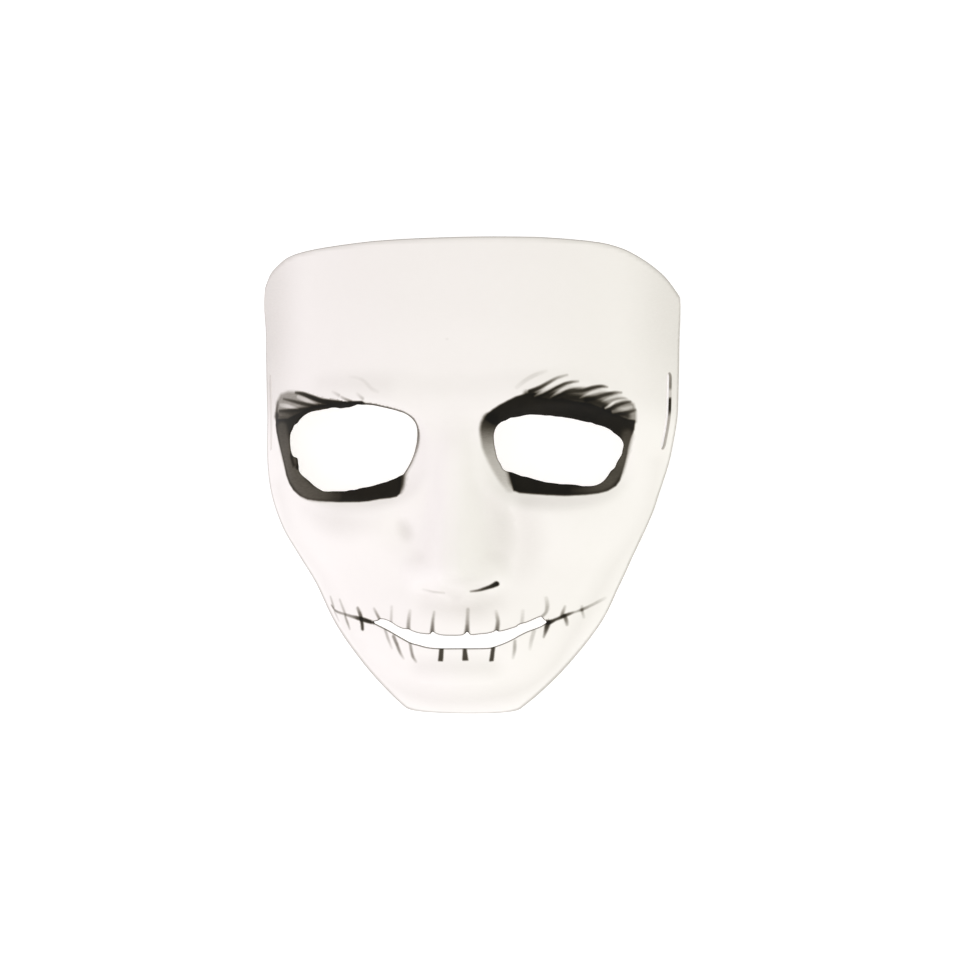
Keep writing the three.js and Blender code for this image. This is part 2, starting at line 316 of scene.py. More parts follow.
def rim_rows():
    """Rows of x, y, z and the way that the cut faces, round the mask with the sheet on the left."""
    jaw_y = np.linspace(JAW_END_Y, TOP_CORNER_Y, JAW_ROWS)
    turns = np.linspace(-RIM_TURN, RIM_TURN, TOP_COLUMNS)[1:-1]

    def inside_top_cut(y):
        point = face_point(turns, y)
        return (point[:, 2] > top_profile(y)) & (y < top_trim(point[:, 0]))

    def below_chin_cut(y):
        return face_point(turns, y)[:, 2] < CHIN_RIM_Z

    top_end = np.full_like(turns, TOP_CORNER_Y + TOP_CORNER_REACH)
    top_y = halve(np.full_like(turns, TOP_CORNER_Y), top_end, inside_top_cut)
    jaw_end = np.full_like(turns, JAW_END_Y)
    chin_y = halve(jaw_end - CHIN_SEARCH, jaw_end, below_chin_cut)
    slope = np.gradient(edge_height(jaw_y), jaw_y)
    jaw_faces = unit(np.stack([np.zeros_like(slope), slope, np.full_like(slope, -1)], -1))
    top_points = face_point(turns, top_y)
    corner_slope = np.gradient(top_profile(top_y), top_y)
    corner_faces = unit(np.stack([np.zeros_like(top_y), corner_slope, np.full_like(top_y, -1)], -1))
    trim_slope = np.gradient(top_trim(top_points[:, 0]), top_points[:, 0])
    trim_faces = unit(np.stack([-trim_slope, np.ones_like(top_y), np.zeros_like(top_y)], -1))
    on_corner = (top_points[:, 2] - top_profile(top_y) < ON_CORNER)[:, None]
    top_faces = np.where(on_corner, corner_faces, trim_faces)
    chin_faces = np.tile([0.0, 0.0, -1.0], (len(turns), 1))
    right = np.hstack([face_point(np.full_like(jaw_y, RIM_TURN), jaw_y), jaw_faces])
    left = np.hstack([face_point(np.full_like(jaw_y, -RIM_TURN), jaw_y), jaw_faces])[::-1]
    top = np.hstack([top_points, top_faces])[::-1]
    chin = np.hstack([face_point(turns, chin_y), chin_faces])
    return evenly(np.vstack([right, top, left, chin]), 3, RIM_SPACING)


rim = rim_rows()
print("points round the rim:", len(rim), " highest y, mm:", round(rim[:, 1].max(), 2))

# %% [markdown]
# The eye holes were cut by hand, so the two are not alike, and each is traced point by point in plan.
# The blade wavered where the paint is, and left a small burr at the outer side of the left hole.
# The mouth is a smiling slit, traced the same way, whose upper edge rises to a small peak at each stitch.
# All three are cut straight through towards the back, so their walls stand upright.

# %% Eye holes and mouth slit
EYE_SPACING = 0.6
MOUTH_SPACING = 0.5
CURVE_STEPS = 10
WAVER_LENGTH = 2.0
ROUGH_WAVER = 0.13
CLEAN_WAVER = 0.04
CLEAN_BEYOND_X = -34.0
ROUGH_BELOW_Y = 1.0
ROUGH_BEFORE_X = -20.0
LEFT_SEED = 21
RIGHT_SEED = 22
LEFT_EYE = [
    (-72.4, 17.2), (-69.0, 21.6), (-63.2, 25.4), (-55.1, 27.1), (-46.6, 27.5), (-37.5, 28.6), (-28.7, 27.2),
    (-20.5, 24.9), (-16.5, 21.6), (-15.5, 16.6), (-17.3, 8.6), (-20.9, 1.6), (-24.1, -0.7), (-33.9, -4.0),
    (-43.9, -6.0), (-54.4, -6.5), (-59.2, -5.4), (-67.6, 0.6), (-68.7, 4.4), (-69.2, 7.2), (-71.3, 8.3),
    (-72.3, 10.8),
]
RIGHT_EYE = [
    (15.5, 16.1), (17.2, 20.1), (21.1, 22.5), (28.2, 24.1), (36.8, 24.2), (45.8, 22.7), (53.6, 21.2),
    (59.1, 19.5), (63.9, 16.5), (66.2, 12.8), (65.4, 8.3), (61.4, 1.8), (55.5, -4.0), (45.6, -3.9),
    (36.6, -3.1), (26.7, -0.3), (21.9, 1.3), (18.4, 3.2), (15.9, 9.5),
]
MOUTH = [
    (-34.5, -59.7), (-32.5, -59.0), (-31.2, -58.3), (-29.0, -58.5), (-26.4, -59.4), (-23.8, -60.9),
    (-21.2, -61.8), (-19.0, -61.9), (-17.3, -62.6), (-14.8, -63.3), (-12.3, -63.6), (-10.0, -63.6),
    (-8.8, -62.6), (-7.3, -63.4), (-4.9, -64.0), (-1.6, -64.1), (2.4, -64.0), (4.0, -63.5), (5.2, -62.5),
    (6.4, -63.6), (7.5, -63.8), (10.3, -63.5), (13.4, -63.2), (15.8, -62.5), (16.6, -62.0),
    (17.7, -62.5), (20.0, -62.1), (22.4, -61.4), (24.3, -60.8), (25.8, -59.8), (28.5, -59.1),
    (31.6, -57.8), (33.9, -57.0), (34.9, -58.1), (36.0, -59.2), (34.3, -60.6), (31.6, -61.7),
    (28.5, -62.8), (25.8, -64.1), (22.7, -65.8), (19.2, -67.4), (15.7, -68.6), (13.3, -69.1),
    (8.2, -69.2), (2.3, -69.2), (-3.8, -69.3), (-8.7, -69.2), (-12.0, -68.8), (-14.9, -68.1),
    (-18.3, -67.3), (-21.7, -65.7), (-24.7, -64.2), (-27.8, -62.7), (-30.4, -61.6), (-32.7, -60.7),
]


def smooth_loop(corners):
    """A closed curve through the corners, rounded by a third-degree curve between each two."""
    corner = np.array(corners, float)
    s = np.linspace(0, 1, CURVE_STEPS, endpoint=False)[:, None]
    pieces = []
    for i in range(len(corner)):
        a, b, c, d = (corner[(i + k) % len(corner)] for k in (-1, 0, 1, 2))
        bend = (2 * a - 5 * b + 4 * c - d) * s ** 2 + (3 * b - a - 3 * c + d) * s ** 3
        pieces.append(b + ((c - a) * s + bend) / 2)
    return np.vstack(pieces)


def wavering(loop, sizes, seed):
    """The loop as a hand-held blade leaves it, moved in and out a little."""
    closed = np.vstack([loop, loop[:1]])
    run = np.concatenate([[0], np.cumsum(np.linalg.norm(np.diff(closed, axis=0), axis=1))])
    knots = round(run[-1] / WAVER_LENGTH)
    shift = np.random.default_rng(seed).normal(0, 1, knots)
    shift = np.append(shift, shift[0])
    waver = np.interp(run[:-1], np.linspace(0, run[-1], knots + 1), shift) * sizes
    along = unit(np.roll(loop, -1, axis=0) - np.roll(loop, 1, axis=0))
    return loop + waver[:, None] * np.stack([along[:, 1], -along[:, 0]], -1)


def hole_rows(plan, spacing):
    """Rows like the rim's, round a hole cut straight down."""
    x, y = plan.T
    if np.sum(x * np.roll(y, -1) - np.roll(x, -1) * y) > 0:
        x, y = x[::-1], y[::-1]
    rows = evenly(np.stack([x, y, face_height(x, y)], -1), 3, spacing)
    along = np.roll(rows, -1, axis=0) - np.roll(rows, 1, axis=0)
    faces = unit(np.stack([along[:, 1], -along[:, 0], np.zeros(len(rows))], -1))
    return np.hstack([rows, faces])


left_outline = smooth_loop(LEFT_EYE)
right_outline = smooth_loop(RIGHT_EYE)
left_waver = np.where(left_outline[:, 0] > CLEAN_BEYOND_X, CLEAN_WAVER, ROUGH_WAVER)
low_side = (left_outline[:, 1] < ROUGH_BELOW_Y) & (left_outline[:, 0] < ROUGH_BEFORE_X)
left_waver = np.where(low_side, ROUGH_WAVER, left_waver)
left_eye = hole_rows(wavering(left_outline, left_waver, LEFT_SEED), EYE_SPACING)
right_eye = hole_rows(wavering(right_outline, ROUGH_WAVER, RIGHT_SEED), EYE_SPACING)
mouth = hole_rows(smooth_loop(MOUTH), MOUTH_SPACING)
print("points round the eyes and the mouth:", len(left_eye), len(right_eye), len(mouth))

# %% [markdown]
# A strap slot goes through each side wall. Its outline is drawn in the side view, a stadium shape along the
# rim, and each of its points is moved sideways until it meets the sheet. The straight sides get points of
# their own, because the wall is curved, and a side drawn from end to end would leave it.

# %% Strap slots
SLOT_Y = 27.0
SLOT_LENGTH = 32.0
SLOT_WIDTH = 4.4
SLOT_MARGIN = 8.6
SLOT_SPACING = 0.6
SLOT_BEND_POINTS = 24
SLOT_SIDE_POINTS = 56
WALL_TURNS = (0.6, 1.25)


def slot_rows(side):
    radius = SLOT_WIDTH / 2
    half = SLOT_LENGTH / 2 - radius
    bend = np.linspace(-math.pi / 2, math.pi / 2, SLOT_BEND_POINTS)
    end = np.full_like(bend, half)
    straight = np.linspace(-half, half, SLOT_SIDE_POINTS)[1:-1]
    across = np.ones_like(straight)
    cosine = np.concatenate([np.cos(bend), across * 0, -np.cos(bend), across * 0])
    sine = np.concatenate([np.sin(bend), across, -np.sin(bend), -across])
    shift = np.concatenate([end, -straight, -end, straight])
    y = SLOT_Y + shift + radius * cosine
    z = SLOT_MARGIN + radius + radius * sine
    inward = np.stack([np.zeros_like(cosine), -cosine, -sine], -1)
    lowest, highest = (np.full_like(y, turn) for turn in WALL_TURNS)
    turn = halve(lowest, highest, lambda t: face_point(t, y)[:, 2] > z)
    rows = np.hstack([face_point(side * turn, y), inward])
    flat = unroll(side * turn, y)
    after = np.roll(flat, -1, axis=0)
    if np.sum(flat[:, 0] * after[:, 1] - after[:, 0] * flat[:, 1]) > 0:
        rows = rows[::-1]
    return evenly(rows, 3, SLOT_SPACING)


slots = [slot_rows(1), slot_rows(-1)]
loops = [rim, left_eye, right_eye, mouth] + slots
print("points round the slots:", [len(slot) for slot in slots])

# %% [markdown]
# The paint comes next, before the mesh, because the mesh has to be finest where the paint's edges run.
# Each mark is a path in plan with its half width and its darkness at each point, as a brush would be led.
# Marks that lift paint off again, such as the pale hairs in the brows, are drawn the same way.

# %% Marks round the mouth and the nose, in plan: x, y, half width, darkness
MOUTH_EDGE_SHADE_HALF = 0.34
MOUTH_EDGE_SHADE_DARK = 0.46
UPPER_STITCHES = [
    [(-55.4, -50.6, 0.49, 0.20), (-54.2, -54.7, 0.57, 0.35)],
    [(-50.4, -51.4, 0.49, 0.20), (-49.2, -54.3, 0.57, 0.25), (-47.9, -57.5, 0.61, 0.35)],
    [(-41.6, -54.4, 0.66, 0.45), (-40.5, -57.0, 0.82, 0.80), (-40.1, -58.7, 0.82, 0.95)],
    [(-34.0, -54.1, 0.49, 0.20), (-32.8, -56.2, 0.57, 0.45), (-31.7, -58.0, 0.53, 0.60)],
    [(-26.1, -53.1, 0.57, 0.10), (-26.4, -59.2, 0.53, 0.28)],
    [(-18.2, -54.5, 0.66, 0.12), (-18.7, -58.1, 0.74, 0.35), (-18.9, -61.7, 0.74, 0.55)],
    [(-8.1, -54.7, 0.49, 0.20), (-8.6, -58.3, 0.57, 0.50), (-8.9, -62.7, 0.82, 0.80)],
    [(5.5, -53.6, 0.66, 0.25), (5.4, -57.8, 0.70, 0.40), (5.2, -62.5, 0.90, 0.85)],
    [(16.6, -54.5, 0.61, 0.12), (17.3, -58.3, 0.70, 0.50), (16.9, -62.3, 0.82, 0.80)],
    [(27.0, -54.5, 0.70, 0.08), (26.6, -59.7, 0.66, 0.25)],
    [(36.0, -49.6, 0.75, 0.12), (36.4, -52.7, 0.75, 0.30), (35.8, -55.3, 0.6, 0.40),
     (34.2, -57.0, 0.45, 0.48)],
    [(43.2, -53.2, 0.49, 0.20), (42.4, -55.4, 0.61, 0.50), (42.0, -57.0, 0.66, 0.70)],
    [(49.7, -53.5, 0.49, 0.20), (49.7, -55.0, 0.57, 0.40)],
]
LOWER_STITCHES = [
    [(-53.8, -56.8, 0.49, 0.20), (-52.0, -60.5, 0.45, 0.10)],
    [(-48.0, -58.4, 0.57, 0.35), (-47.1, -60.9, 0.57, 0.40), (-46.3, -63.3, 0.49, 0.20)],
    [(-40.1, -58.7, 0.78, 0.95), (-39.8, -60.7, 0.74, 0.92), (-39.7, -62.8, 0.70, 0.90)],
    [(-29.1, -62.6, 0.57, 0.30), (-27.9, -66.2, 0.57, 0.28), (-26.5, -69.9, 0.45, 0.10)],
    [(-25.4, -65.1, 0.70, 0.50), (-24.0, -68.5, 0.66, 0.55), (-22.8, -71.7, 0.57, 0.40),
     (-21.4, -74.0, 0.41, 0.12)],
    [(-18.3, -67.6, 0.57, 0.40), (-17.8, -71.1, 0.57, 0.50), (-17.3, -73.1, 0.57, 0.50),
     (-16.1, -75.0, 0.45, 0.20)],
    [(23.8, -66.5, 0.57, 0.30), (23.6, -69.8, 0.61, 0.35), (22.9, -73.4, 0.49, 0.10)],
    [(31.2, -62.7, 0.74, 0.20), (30.2, -66.3, 0.70, 0.20), (29.5, -70.0, 0.57, 0.06)],
    [(36.6, -59.4, 1.07, 0.95), (35.9, -62.1, 0.78, 0.85), (34.9, -65.3, 0.33, 0.40)],
    [(43.0, -56.9, 0.70, 0.75), (43.6, -58.8, 0.70, 0.60), (43.9, -60.6, 0.57, 0.30)],
    [(49.7, -55.0, 0.53, 0.35), (50.4, -58.0, 0.49, 0.12)],
]
MOUTH_SEAMS = [
    [(-55.3, -54.2, 0.41, 0.40), (-53.2, -56.3, 0.49, 0.50), (-48.9, -57.2, 0.49, 0.42),
     (-44.4, -58.0, 0.61, 0.55), (-41.5, -58.5, 0.82, 0.85), (-38.7, -59.0, 0.90, 0.96),
     (-35.9, -59.6, 0.78, 0.97), (-34.0, -59.9, 0.53, 0.97)],
    [(35.5, -59.3, 0.57, 0.90), (37.0, -59.4, 0.90, 0.96), (39.7, -58.3, 0.57, 0.85),
     (42.4, -57.2, 0.70, 0.88), (45.1, -56.2, 0.53, 0.70), (47.4, -55.5, 0.37, 0.35),
     (49.7, -54.8, 0.57, 0.50), (52.8, -53.5, 0.53, 0.30), (55.9, -52.0, 0.61, 0.20),
     (58.6, -50.7, 0.61, 0.06)],
]
# Painted shade in the nostril dents: dark on the right, faint under the left wing of the nose.
NOSTRIL_SHADES = [
    [(6.8, -46.3, 0.37, 0.45), (9.6, -46.0, 0.49, 0.70), (12.3, -45.2, 0.61, 0.88),
     (14.7, -44.4, 0.78, 0.92), (16.8, -43.4, 1.02, 0.97)],
    [(-12.6, -45.7, 0.4, 0.06), (-8.4, -46.6, 0.45, 0.12), (-3.8, -46.9, 0.4, 0.10)],
]
# A thin grey line along the slit's cut edge is painted shade of that edge.
closed_mouth = np.vstack([mouth, mouth[:1]])[:, :2]
MOUTH_EDGE_SHADE = [[(x, y, MOUTH_EDGE_SHADE_HALF, MOUTH_EDGE_SHADE_DARK) for x, y in closed_mouth]]
mouth_marks = [UPPER_STITCHES, LOWER_STITCHES, MOUTH_SEAMS, NOSTRIL_SHADES, MOUTH_EDGE_SHADE]
print("marks round the mouth and the nose:", sum(len(group) for group in mouth_marks))

# %% [markdown]
# The brows are single strokes of a thin brush, and between them the white shows through as pale hairs.
# Round the eyes the paint fades at the inner corners and is thin at the outer ones, so soft strokes lie
# beside the sharp ones. Painting the black by hand in texture mode would also do, but it needs an image.

# %% Marks round the eyes, in plan: x, y, half width, darkness
BROW_HAIRS = [
    [(-69.0, 34.3, 0.49, 0.75), (-65.1, 33.5, 0.82, 0.90), (-60.5, 31.9, 0.98, 0.95),
     (-55.7, 30.3, 1.07, 0.95), (-49.7, 29.3, 1.23, 0.97), (-43.1, 28.8, 1.07, 0.98),
     (-37.4, 29.0, 0.49, 0.97)],
    [(-75.9, 32.0, 0.41, 0.50), (-70.9, 30.9, 0.61, 0.70), (-64.1, 29.3, 0.74, 0.80),
     (-56.7, 28.3, 0.82, 0.85), (-48.6, 28.1, 0.82, 0.90)],
    [(-78.4, 27.1, 0.61, 0.70), (-72.0, 27.0, 0.74, 0.85), (-65.1, 27.1, 0.74, 0.80),
     (-58.7, 27.5, 0.61, 0.75)],
    [(-47.1, 31.9, 0.37, 0.15), (-45.1, 30.8, 0.49, 0.40), (-42.5, 29.8, 0.49, 0.60)],
    [(-79.4, 31.0, 0.5, 0.30), (-80.3, 27.3, 0.8, 0.55), (-80.2, 23.4, 0.9, 0.80)],
    [(30.3, 33.3, 0.90, 0.95), (34.2, 35.0, 0.78, 0.88), (37.3, 36.9, 0.66, 0.70), (40.7, 38.9, 0.53, 0.45),
     (44.6, 40.2, 0.41, 0.20)],
    [(33.4, 31.2, 0.82, 0.95), (37.7, 33.5, 0.74, 0.90), (41.6, 35.7, 0.70, 0.85), (45.4, 37.1, 0.61, 0.70),
     (48.9, 37.7, 0.41, 0.30)],
    [(39.3, 30.8, 0.82, 0.95), (42.8, 32.8, 0.82, 0.80), (46.7, 33.8, 0.90, 0.75), (50.5, 33.9, 0.74, 0.80),
     (54.4, 35.2, 0.70, 0.85), (57.9, 35.9, 0.61, 0.80), (60.2, 35.7, 0.41, 0.40)],
    [(52.1, 30.2, 0.90, 0.90), (56.0, 31.3, 0.82, 0.80), (59.5, 32.5, 0.70, 0.75), (62.6, 33.4, 0.61, 0.70),
     (65.7, 33.6, 0.41, 0.40)],
    [(59.0, 27.2, 0.82, 0.95), (62.6, 27.8, 0.74, 0.85), (65.7, 29.0, 0.66, 0.80),
     (69.2, 30.0, 0.49, 0.50)],
    [(62.9, 24.9, 0.90, 0.90), (66.1, 25.0, 0.74, 0.80), (68.8, 25.8, 0.66, 0.75),
     (71.2, 26.7, 0.49, 0.50)],
    [(25.1, 35.1, 0.82, 0.05), (28.6, 38.0, 0.82, 0.10), (32.5, 40.2, 0.82, 0.10),
     (36.4, 41.7, 0.61, 0.04)],
    [(-43.5, 39.9, 0.5, 0.02), (-40.0, 39.3, 0.6, 0.04), (-37.1, 38.0, 0.6, 0.06), (-33.8, 34.9, 0.7, 0.06),
     (-31.0, 33.5, 0.6, 0.04)],
    [(-50.8, 33.9, 0.5, 0.06), (-47.8, 32.3, 0.6, 0.20)],
    [(-39.8, 32.9, 0.5, 0.06), (-37.4, 30.8, 0.6, 0.22)],
]
LIFTED_HAIRS = [
    [(-67.7, 32.5, 0.82, 0.50), (-63.5, 30.9, 0.82, 0.62), (-60.5, 29.8, 0.49, 0.55),
     (-58.1, 29.0, 0.20, 0.25)],
    [(-77.7, 29.6, 0.74, 0.40), (-73.7, 28.9, 0.82, 0.66), (-70.4, 28.2, 0.49, 0.60),
     (-67.7, 27.6, 0.16, 0.25)],
    [(-78.4, 25.4, 0.57, 0.16), (-74.3, 25.2, 0.57, 0.14), (-71.5, 25.0, 0.33, 0.06)],
    [(-64.8, 24.7, 0.41, 0.12), (-59.9, 26.2, 0.41, 0.22), (-54.2, 27.1, 0.33, 0.15)],
    [(32.1, 31.5, 0.20, 0.30), (35.4, 33.4, 0.61, 0.75), (39.2, 35.7, 0.74, 0.85), (42.7, 37.7, 0.74, 0.80),
     (45.8, 38.8, 0.61, 0.50)],
    [(38.5, 31.2, 0.20, 0.30), (41.6, 33.3, 0.61, 0.75), (45.1, 35.3, 0.74, 0.85), (49.0, 36.2, 0.74, 0.85),
     (53.6, 36.9, 0.74, 0.60)],
    [(49.8, 31.0, 0.20, 0.30), (53.3, 32.8, 0.57, 0.75), (56.4, 33.9, 0.66, 0.85), (59.9, 34.4, 0.61, 0.70),
     (63.0, 34.7, 0.49, 0.40)],
    [(58.3, 29.7, 0.20, 0.20), (61.0, 31.1, 0.49, 0.60), (64.1, 32.1, 0.57, 0.75),
     (67.7, 32.1, 0.49, 0.60)],
    [(59.6, 27.2, 0.33, 0.70), (61.4, 28.3, 0.53, 0.95), (63.4, 29.8, 0.49, 0.90), (66.5, 30.7, 0.41, 0.70),
     (69.2, 30.9, 0.33, 0.40)],
    [(62.6, 25.8, 0.66, 0.35), (66.1, 26.8, 0.74, 0.45), (69.6, 27.9, 0.61, 0.45)],
]
# A dark line along the left hole's upper and nasal cut edge: paint at its upper end, painted shade of the cut
# edge down the nasal side.
EYE_EDGE_LINE = [
    [(-37.4, 28.9, 0.50, 0.92), (-32.4, 28.1, 0.50, 0.80), (-26.3, 26.6, 0.50, 0.74),
     (-20.5, 24.8, 0.52, 0.70), (-16.8, 22.1, 0.55, 0.64), (-15.3, 18.7, 0.60, 0.56),
     (-15.1, 15.4, 0.62, 0.40), (-16.0, 11.0, 0.65, 0.26), (-18.2, 6.1, 0.65, 0.24),
     (-20.6, 2.2, 0.65, 0.40)],
]
FADED_CORNER = [
    [(14.6, 21.6, 3.3, 0.95), (14.0, 19.6, 3.6, 0.86), (13.9, 17.3, 3.7, 0.70), (14.0, 14.7, 3.5, 0.53),
     (14.5, 11.6, 3.5, 0.40), (15.6, 8.1, 3.3, 0.32), (17.1, 4.5, 3.2, 0.29), (18.8, 1.3, 3.1, 0.27),
     (20.4, -1.9, 2.8, 0.24), (21.8, -4.7, 2.1, 0.17)],
]
SOFT_SHADES = [
    [(29.0, 32.4, 1.0, 0.80), (35.0, 31.8, 1.5, 0.90), (41.0, 31.7, 1.7, 0.90), (47.0, 31.1, 1.8, 0.90),
     (53.0, 30.2, 1.7, 0.88), (58.0, 28.5, 1.6, 0.86), (63.0, 26.0, 1.4, 0.86), (68.0, 24.2, 1.2, 0.82)],
    [(-80.2, 25.2, 1.4, 0.66), (-75.0, 24.8, 2.0, 0.74), (-69.0, 25.4, 2.0, 0.82), (-62.0, 27.0, 1.6, 0.86),
     (-54.0, 28.2, 1.0, 0.86)],
    [(-22.9, -6.6, 0.5, 0.85), (-22.4, -4.2, 0.9, 0.95), (-22.1, -0.6, 1.0, 0.95), (-21.5, 0.9, 0.8, 0.85),
     (-20.4, 2.6, 0.7, 0.44), (-18.9, 5.0, 0.7, 0.38), (-17.3, 8.5, 0.7, 0.36), (-15.9, 12.5, 0.7, 0.34),
     (-15.4, 16.6, 0.6, 0.30), (-15.6, 19.5, 0.4, 0.16)],
    [(23.0, -4.6, 0.4, 0.80), (22.4, -2.8, 0.8, 0.85), (21.7, 0.2, 0.8, 0.85), (20.9, 1.6, 0.5, 0.75)],
]
THIN_PAINT = [
    [(-77.0, 19.5, 3.0, 0.70), (-75.0, 12.0, 3.0, 0.92), (-72.4, 5.0, 3.2, 1.0), (-69.8, -1.0, 3.4, 1.0),
     (-64.6, -6.0, 3.2, 1.0), (-57.5, -8.0, 2.4, 0.85), (-50.0, -8.6, 1.8, 0.35)],
    [(68.0, 16.5, 2.2, 0.60), (66.0, 8.0, 1.8, 0.85), (63.6, 1.5, 2.2, 0.75), (59.6, -3.4, 2.2, 0.85),
     (53.5, -5.6, 1.6, 0.65), (46.5, -6.2, 1.0, 0.25)],
    [(-70.8, 8.2, 0.4, 1.0), (-70.2, 6.2, 0.6, 1.0), (-70.0, 4.6, 0.4, 0.8)],
]
eye_marks = [BROW_HAIRS, LIFTED_HAIRS, EYE_EDGE_LINE, FADED_CORNER, SOFT_SHADES, THIN_PAINT]
print("marks round the eyes:", sum(len(group) for group in eye_marks))

# %% [markdown]
# Very soft, faint strokes of painted shade darken the white plastic at the temples, beside the nose, round
# the mouth and along the jaw, where less light falls on it. They are only a few hundredths dark.

# %% Painted shade and specks, in plan: x, y, half width, darkness
# The patches and the temples below are painted shade: a faint darkening where less light falls.
PAINTED_SHADE_PATCHES = [
    [(-10.0, -52.0, 3.0, 0.052), (8.0, -53.0, 4.0, 0.082), (16.0, -51.0, 3.0, 0.050)],
    [(12.0, -7.0, 3.0, 0.034), (18.0, -16.0, 5.0, 0.070), (19.0, -26.0, 5.0, 0.060),
     (20.0, -36.0, 3.0, 0.036)],
    [(27.0, -13.0, 4.0, 0.044), (30.0, -26.0, 5.0, 0.044), (27.0, -38.0, 4.0, 0.030)],
    [(-14.0, -77.0, 2.5, 0.042), (14.0, -77.0, 2.5, 0.052)],
    [(0.0, -40.5, 2.0, 0.060), (6.0, -41.5, 2.0, 0.080), (14.0, -40.5, 1.5, 0.050)],
    [(-3.0, -45.5, 2.0, 0.040), (1.0, -49.5, 3.0, 0.085)],
    [(-64.0, -15.0, 2.0, 0.020), (-50.0, -19.0, 5.0, 0.052), (-34.0, -20.0, 3.0, 0.024)],
    [(-56.0, 38.0, 2.0, 0.030), (-28.0, 36.0, 2.0, 0.028)],
    [(80.0, 5.0, 2.0, 0.044), (75.0, -18.0, 2.0, 0.040), (62.0, -38.0, 2.0, 0.044),
     (48.0, -62.0, 2.0, 0.052), (34.0, -82.0, 2.0, 0.056), (14.0, -90.0, 4.0, 0.066),
     (-14.0, -90.0, 4.0, 0.060), (-34.0, -82.0, 2.0, 0.036), (-48.0, -62.0, 2.0, 0.030),
     (-60.0, -42.0, 2.0, 0.030), (-74.0, -25.0, 2.0, 0.030), (-80.0, -5.0, 2.0, 0.038)],
]
PAINTED_SHADE_TEMPLES = [
    [(88.0, 84.0, 11.0, 0.085), (89.0, 60.0, 12.0, 0.090), (89.0, 36.0, 9.0, 0.060)],
    [(-88.0, 84.0, 12.0, 0.115), (-89.0, 60.0, 13.0, 0.130), (-89.0, 38.0, 11.0, 0.110)],
]
# Painted shade in the pressed dent beside the nose.
DENT_PAINTED_SHADE = [[(-21.2, -20.4, 2.4, 0.055), (-20.5, -22.1, 2.6, 0.070), (-19.8, -23.8, 2.4, 0.060)]]
SPECKS = [[(-3.3, 54.5, 0.3, 0.06), (-2.9, 54.5, 0.3, 0.06)]]
sharp_marks = [
    UPPER_STITCHES, LOWER_STITCHES, MOUTH_SEAMS, NOSTRIL_SHADES, BROW_HAIRS, LIFTED_HAIRS, EYE_EDGE_LINE,
    MOUTH_EDGE_SHADE, SPECKS,
]
print("marks with a sharp edge:", sum(len(group) for group in sharp_marks))

# %% [markdown]
# Round each eye the black is a filled shape: a thick liner, and over it a thin haze of paint that the brow
# hairs are drawn in. Their outlines run through the open hole where the paint stops at its edge, so nothing
# shows there. Three short stitches under the mouth were made with a flat brush, so they have square ends
# and are outlines as well.

# %% Filled shapes of paint, in plan
LEFT_LINER = [
    (-80.4, 23.6), (-80.7, 21.4), (-80.2, 18.6), (-78.8, 14.5), (-77.2, 9.9), (-75.7, 5.2), (-74.4, 0.2),
    (-72.9, -3.2), (-70.8, -5.9), (-67.4, -8.2), (-63.4, -9.6), (-58.0, -10.2), (-48.7, -10.6),
    (-39.9, -10.5), (-35.6, -10.1), (-31.4, -9.3), (-27.1, -8.9), (-24.3, -8.3), (-23.2, -7.2),
    (-23.0, -3.9), (-22.8, 0.5), (-29.6, 2.1), (-44.9, 2.2), (-58.9, 2.2), (-65.9, 8.5), (-65.2, 18.8),
    (-61.3, 23.6), (-52.7, 25.9), (-48.0, 26.9), (-37.5, 28.3), (-37.8, 29.5), (-43.0, 29.6),
    (-48.4, 28.9), (-54.4, 28.6), (-60.6, 28.2), (-67.0, 25.6), (-73.5, 23.4),
]
LEFT_HAZE = [
    (-79.6, 30.1), (-77.1, 33.1), (-73.1, 33.9), (-68.2, 33.4), (-61.5, 31.3), (-55.7, 29.9), (-52.0, 29.0),
    (-56.0, 27.5), (-64.2, 26.1), (-72.0, 25.5), (-79.7, 25.0),
]
RIGHT_LINER = [
    (13.5, 24.0), (15.6, 25.8), (18.4, 27.6), (21.6, 29.3), (24.8, 30.9), (28.7, 32.1),
    (31.8, 32.5), (34.2, 30.8), (38.9, 30.0), (42.8, 30.5), (47.8, 29.3), (53.6, 28.7), (57.5, 27.1),
    (61.4, 26.0), (65.3, 23.7), (68.4, 22.5), (70.8, 22.2), (70.4, 18.9), (68.9, 15.3), (67.9, 12.0),
    (67.2, 8.3), (66.4, 5.1), (65.4, 1.4), (64.4, -1.9), (63.0, -4.0), (60.0, -5.9), (56.3, -6.9),
    (51.2, -7.5), (43.3, -7.9), (35.4, -7.5), (29.5, -7.1), (25.5, -6.7), (23.3, -5.9), (22.5, -2.7),
    (21.3, 1.7), (29.5, 2.1), (41.3, 0.1), (53.1, 0.1), (61.0, 6.3), (61.9, 14.4), (53.2, 18.4),
    (41.4, 20.3), (25.7, 20.6), (19.0, 19.9), (15.2, 20.8), (12.9, 22.4),
]
RIGHT_HAZE = [
    (32.6, 31.9), (36.1, 33.6), (40.4, 34.8), (45.9, 35.3), (51.7, 34.4), (57.5, 34.0), (62.2, 32.5),
    (66.9, 31.0), (70.0, 28.7), (70.8, 25.9), (70.8, 22.2), (65.3, 23.7), (57.5, 27.1), (47.8, 29.3),
    (38.9, 30.4),
]
SQUARE_STITCHES = [
    [(-5.8, -69.3), (-4.6, -69.3), (-5.0, -74.2), (-6.4, -74.2)],
    [(3.7, -69.2), (4.5, -69.2), (5.2, -73.8), (3.4, -73.8)],
    [(14.9, -68.8), (15.8, -68.8), (15.1, -74.2), (14.0, -74.3)],
]
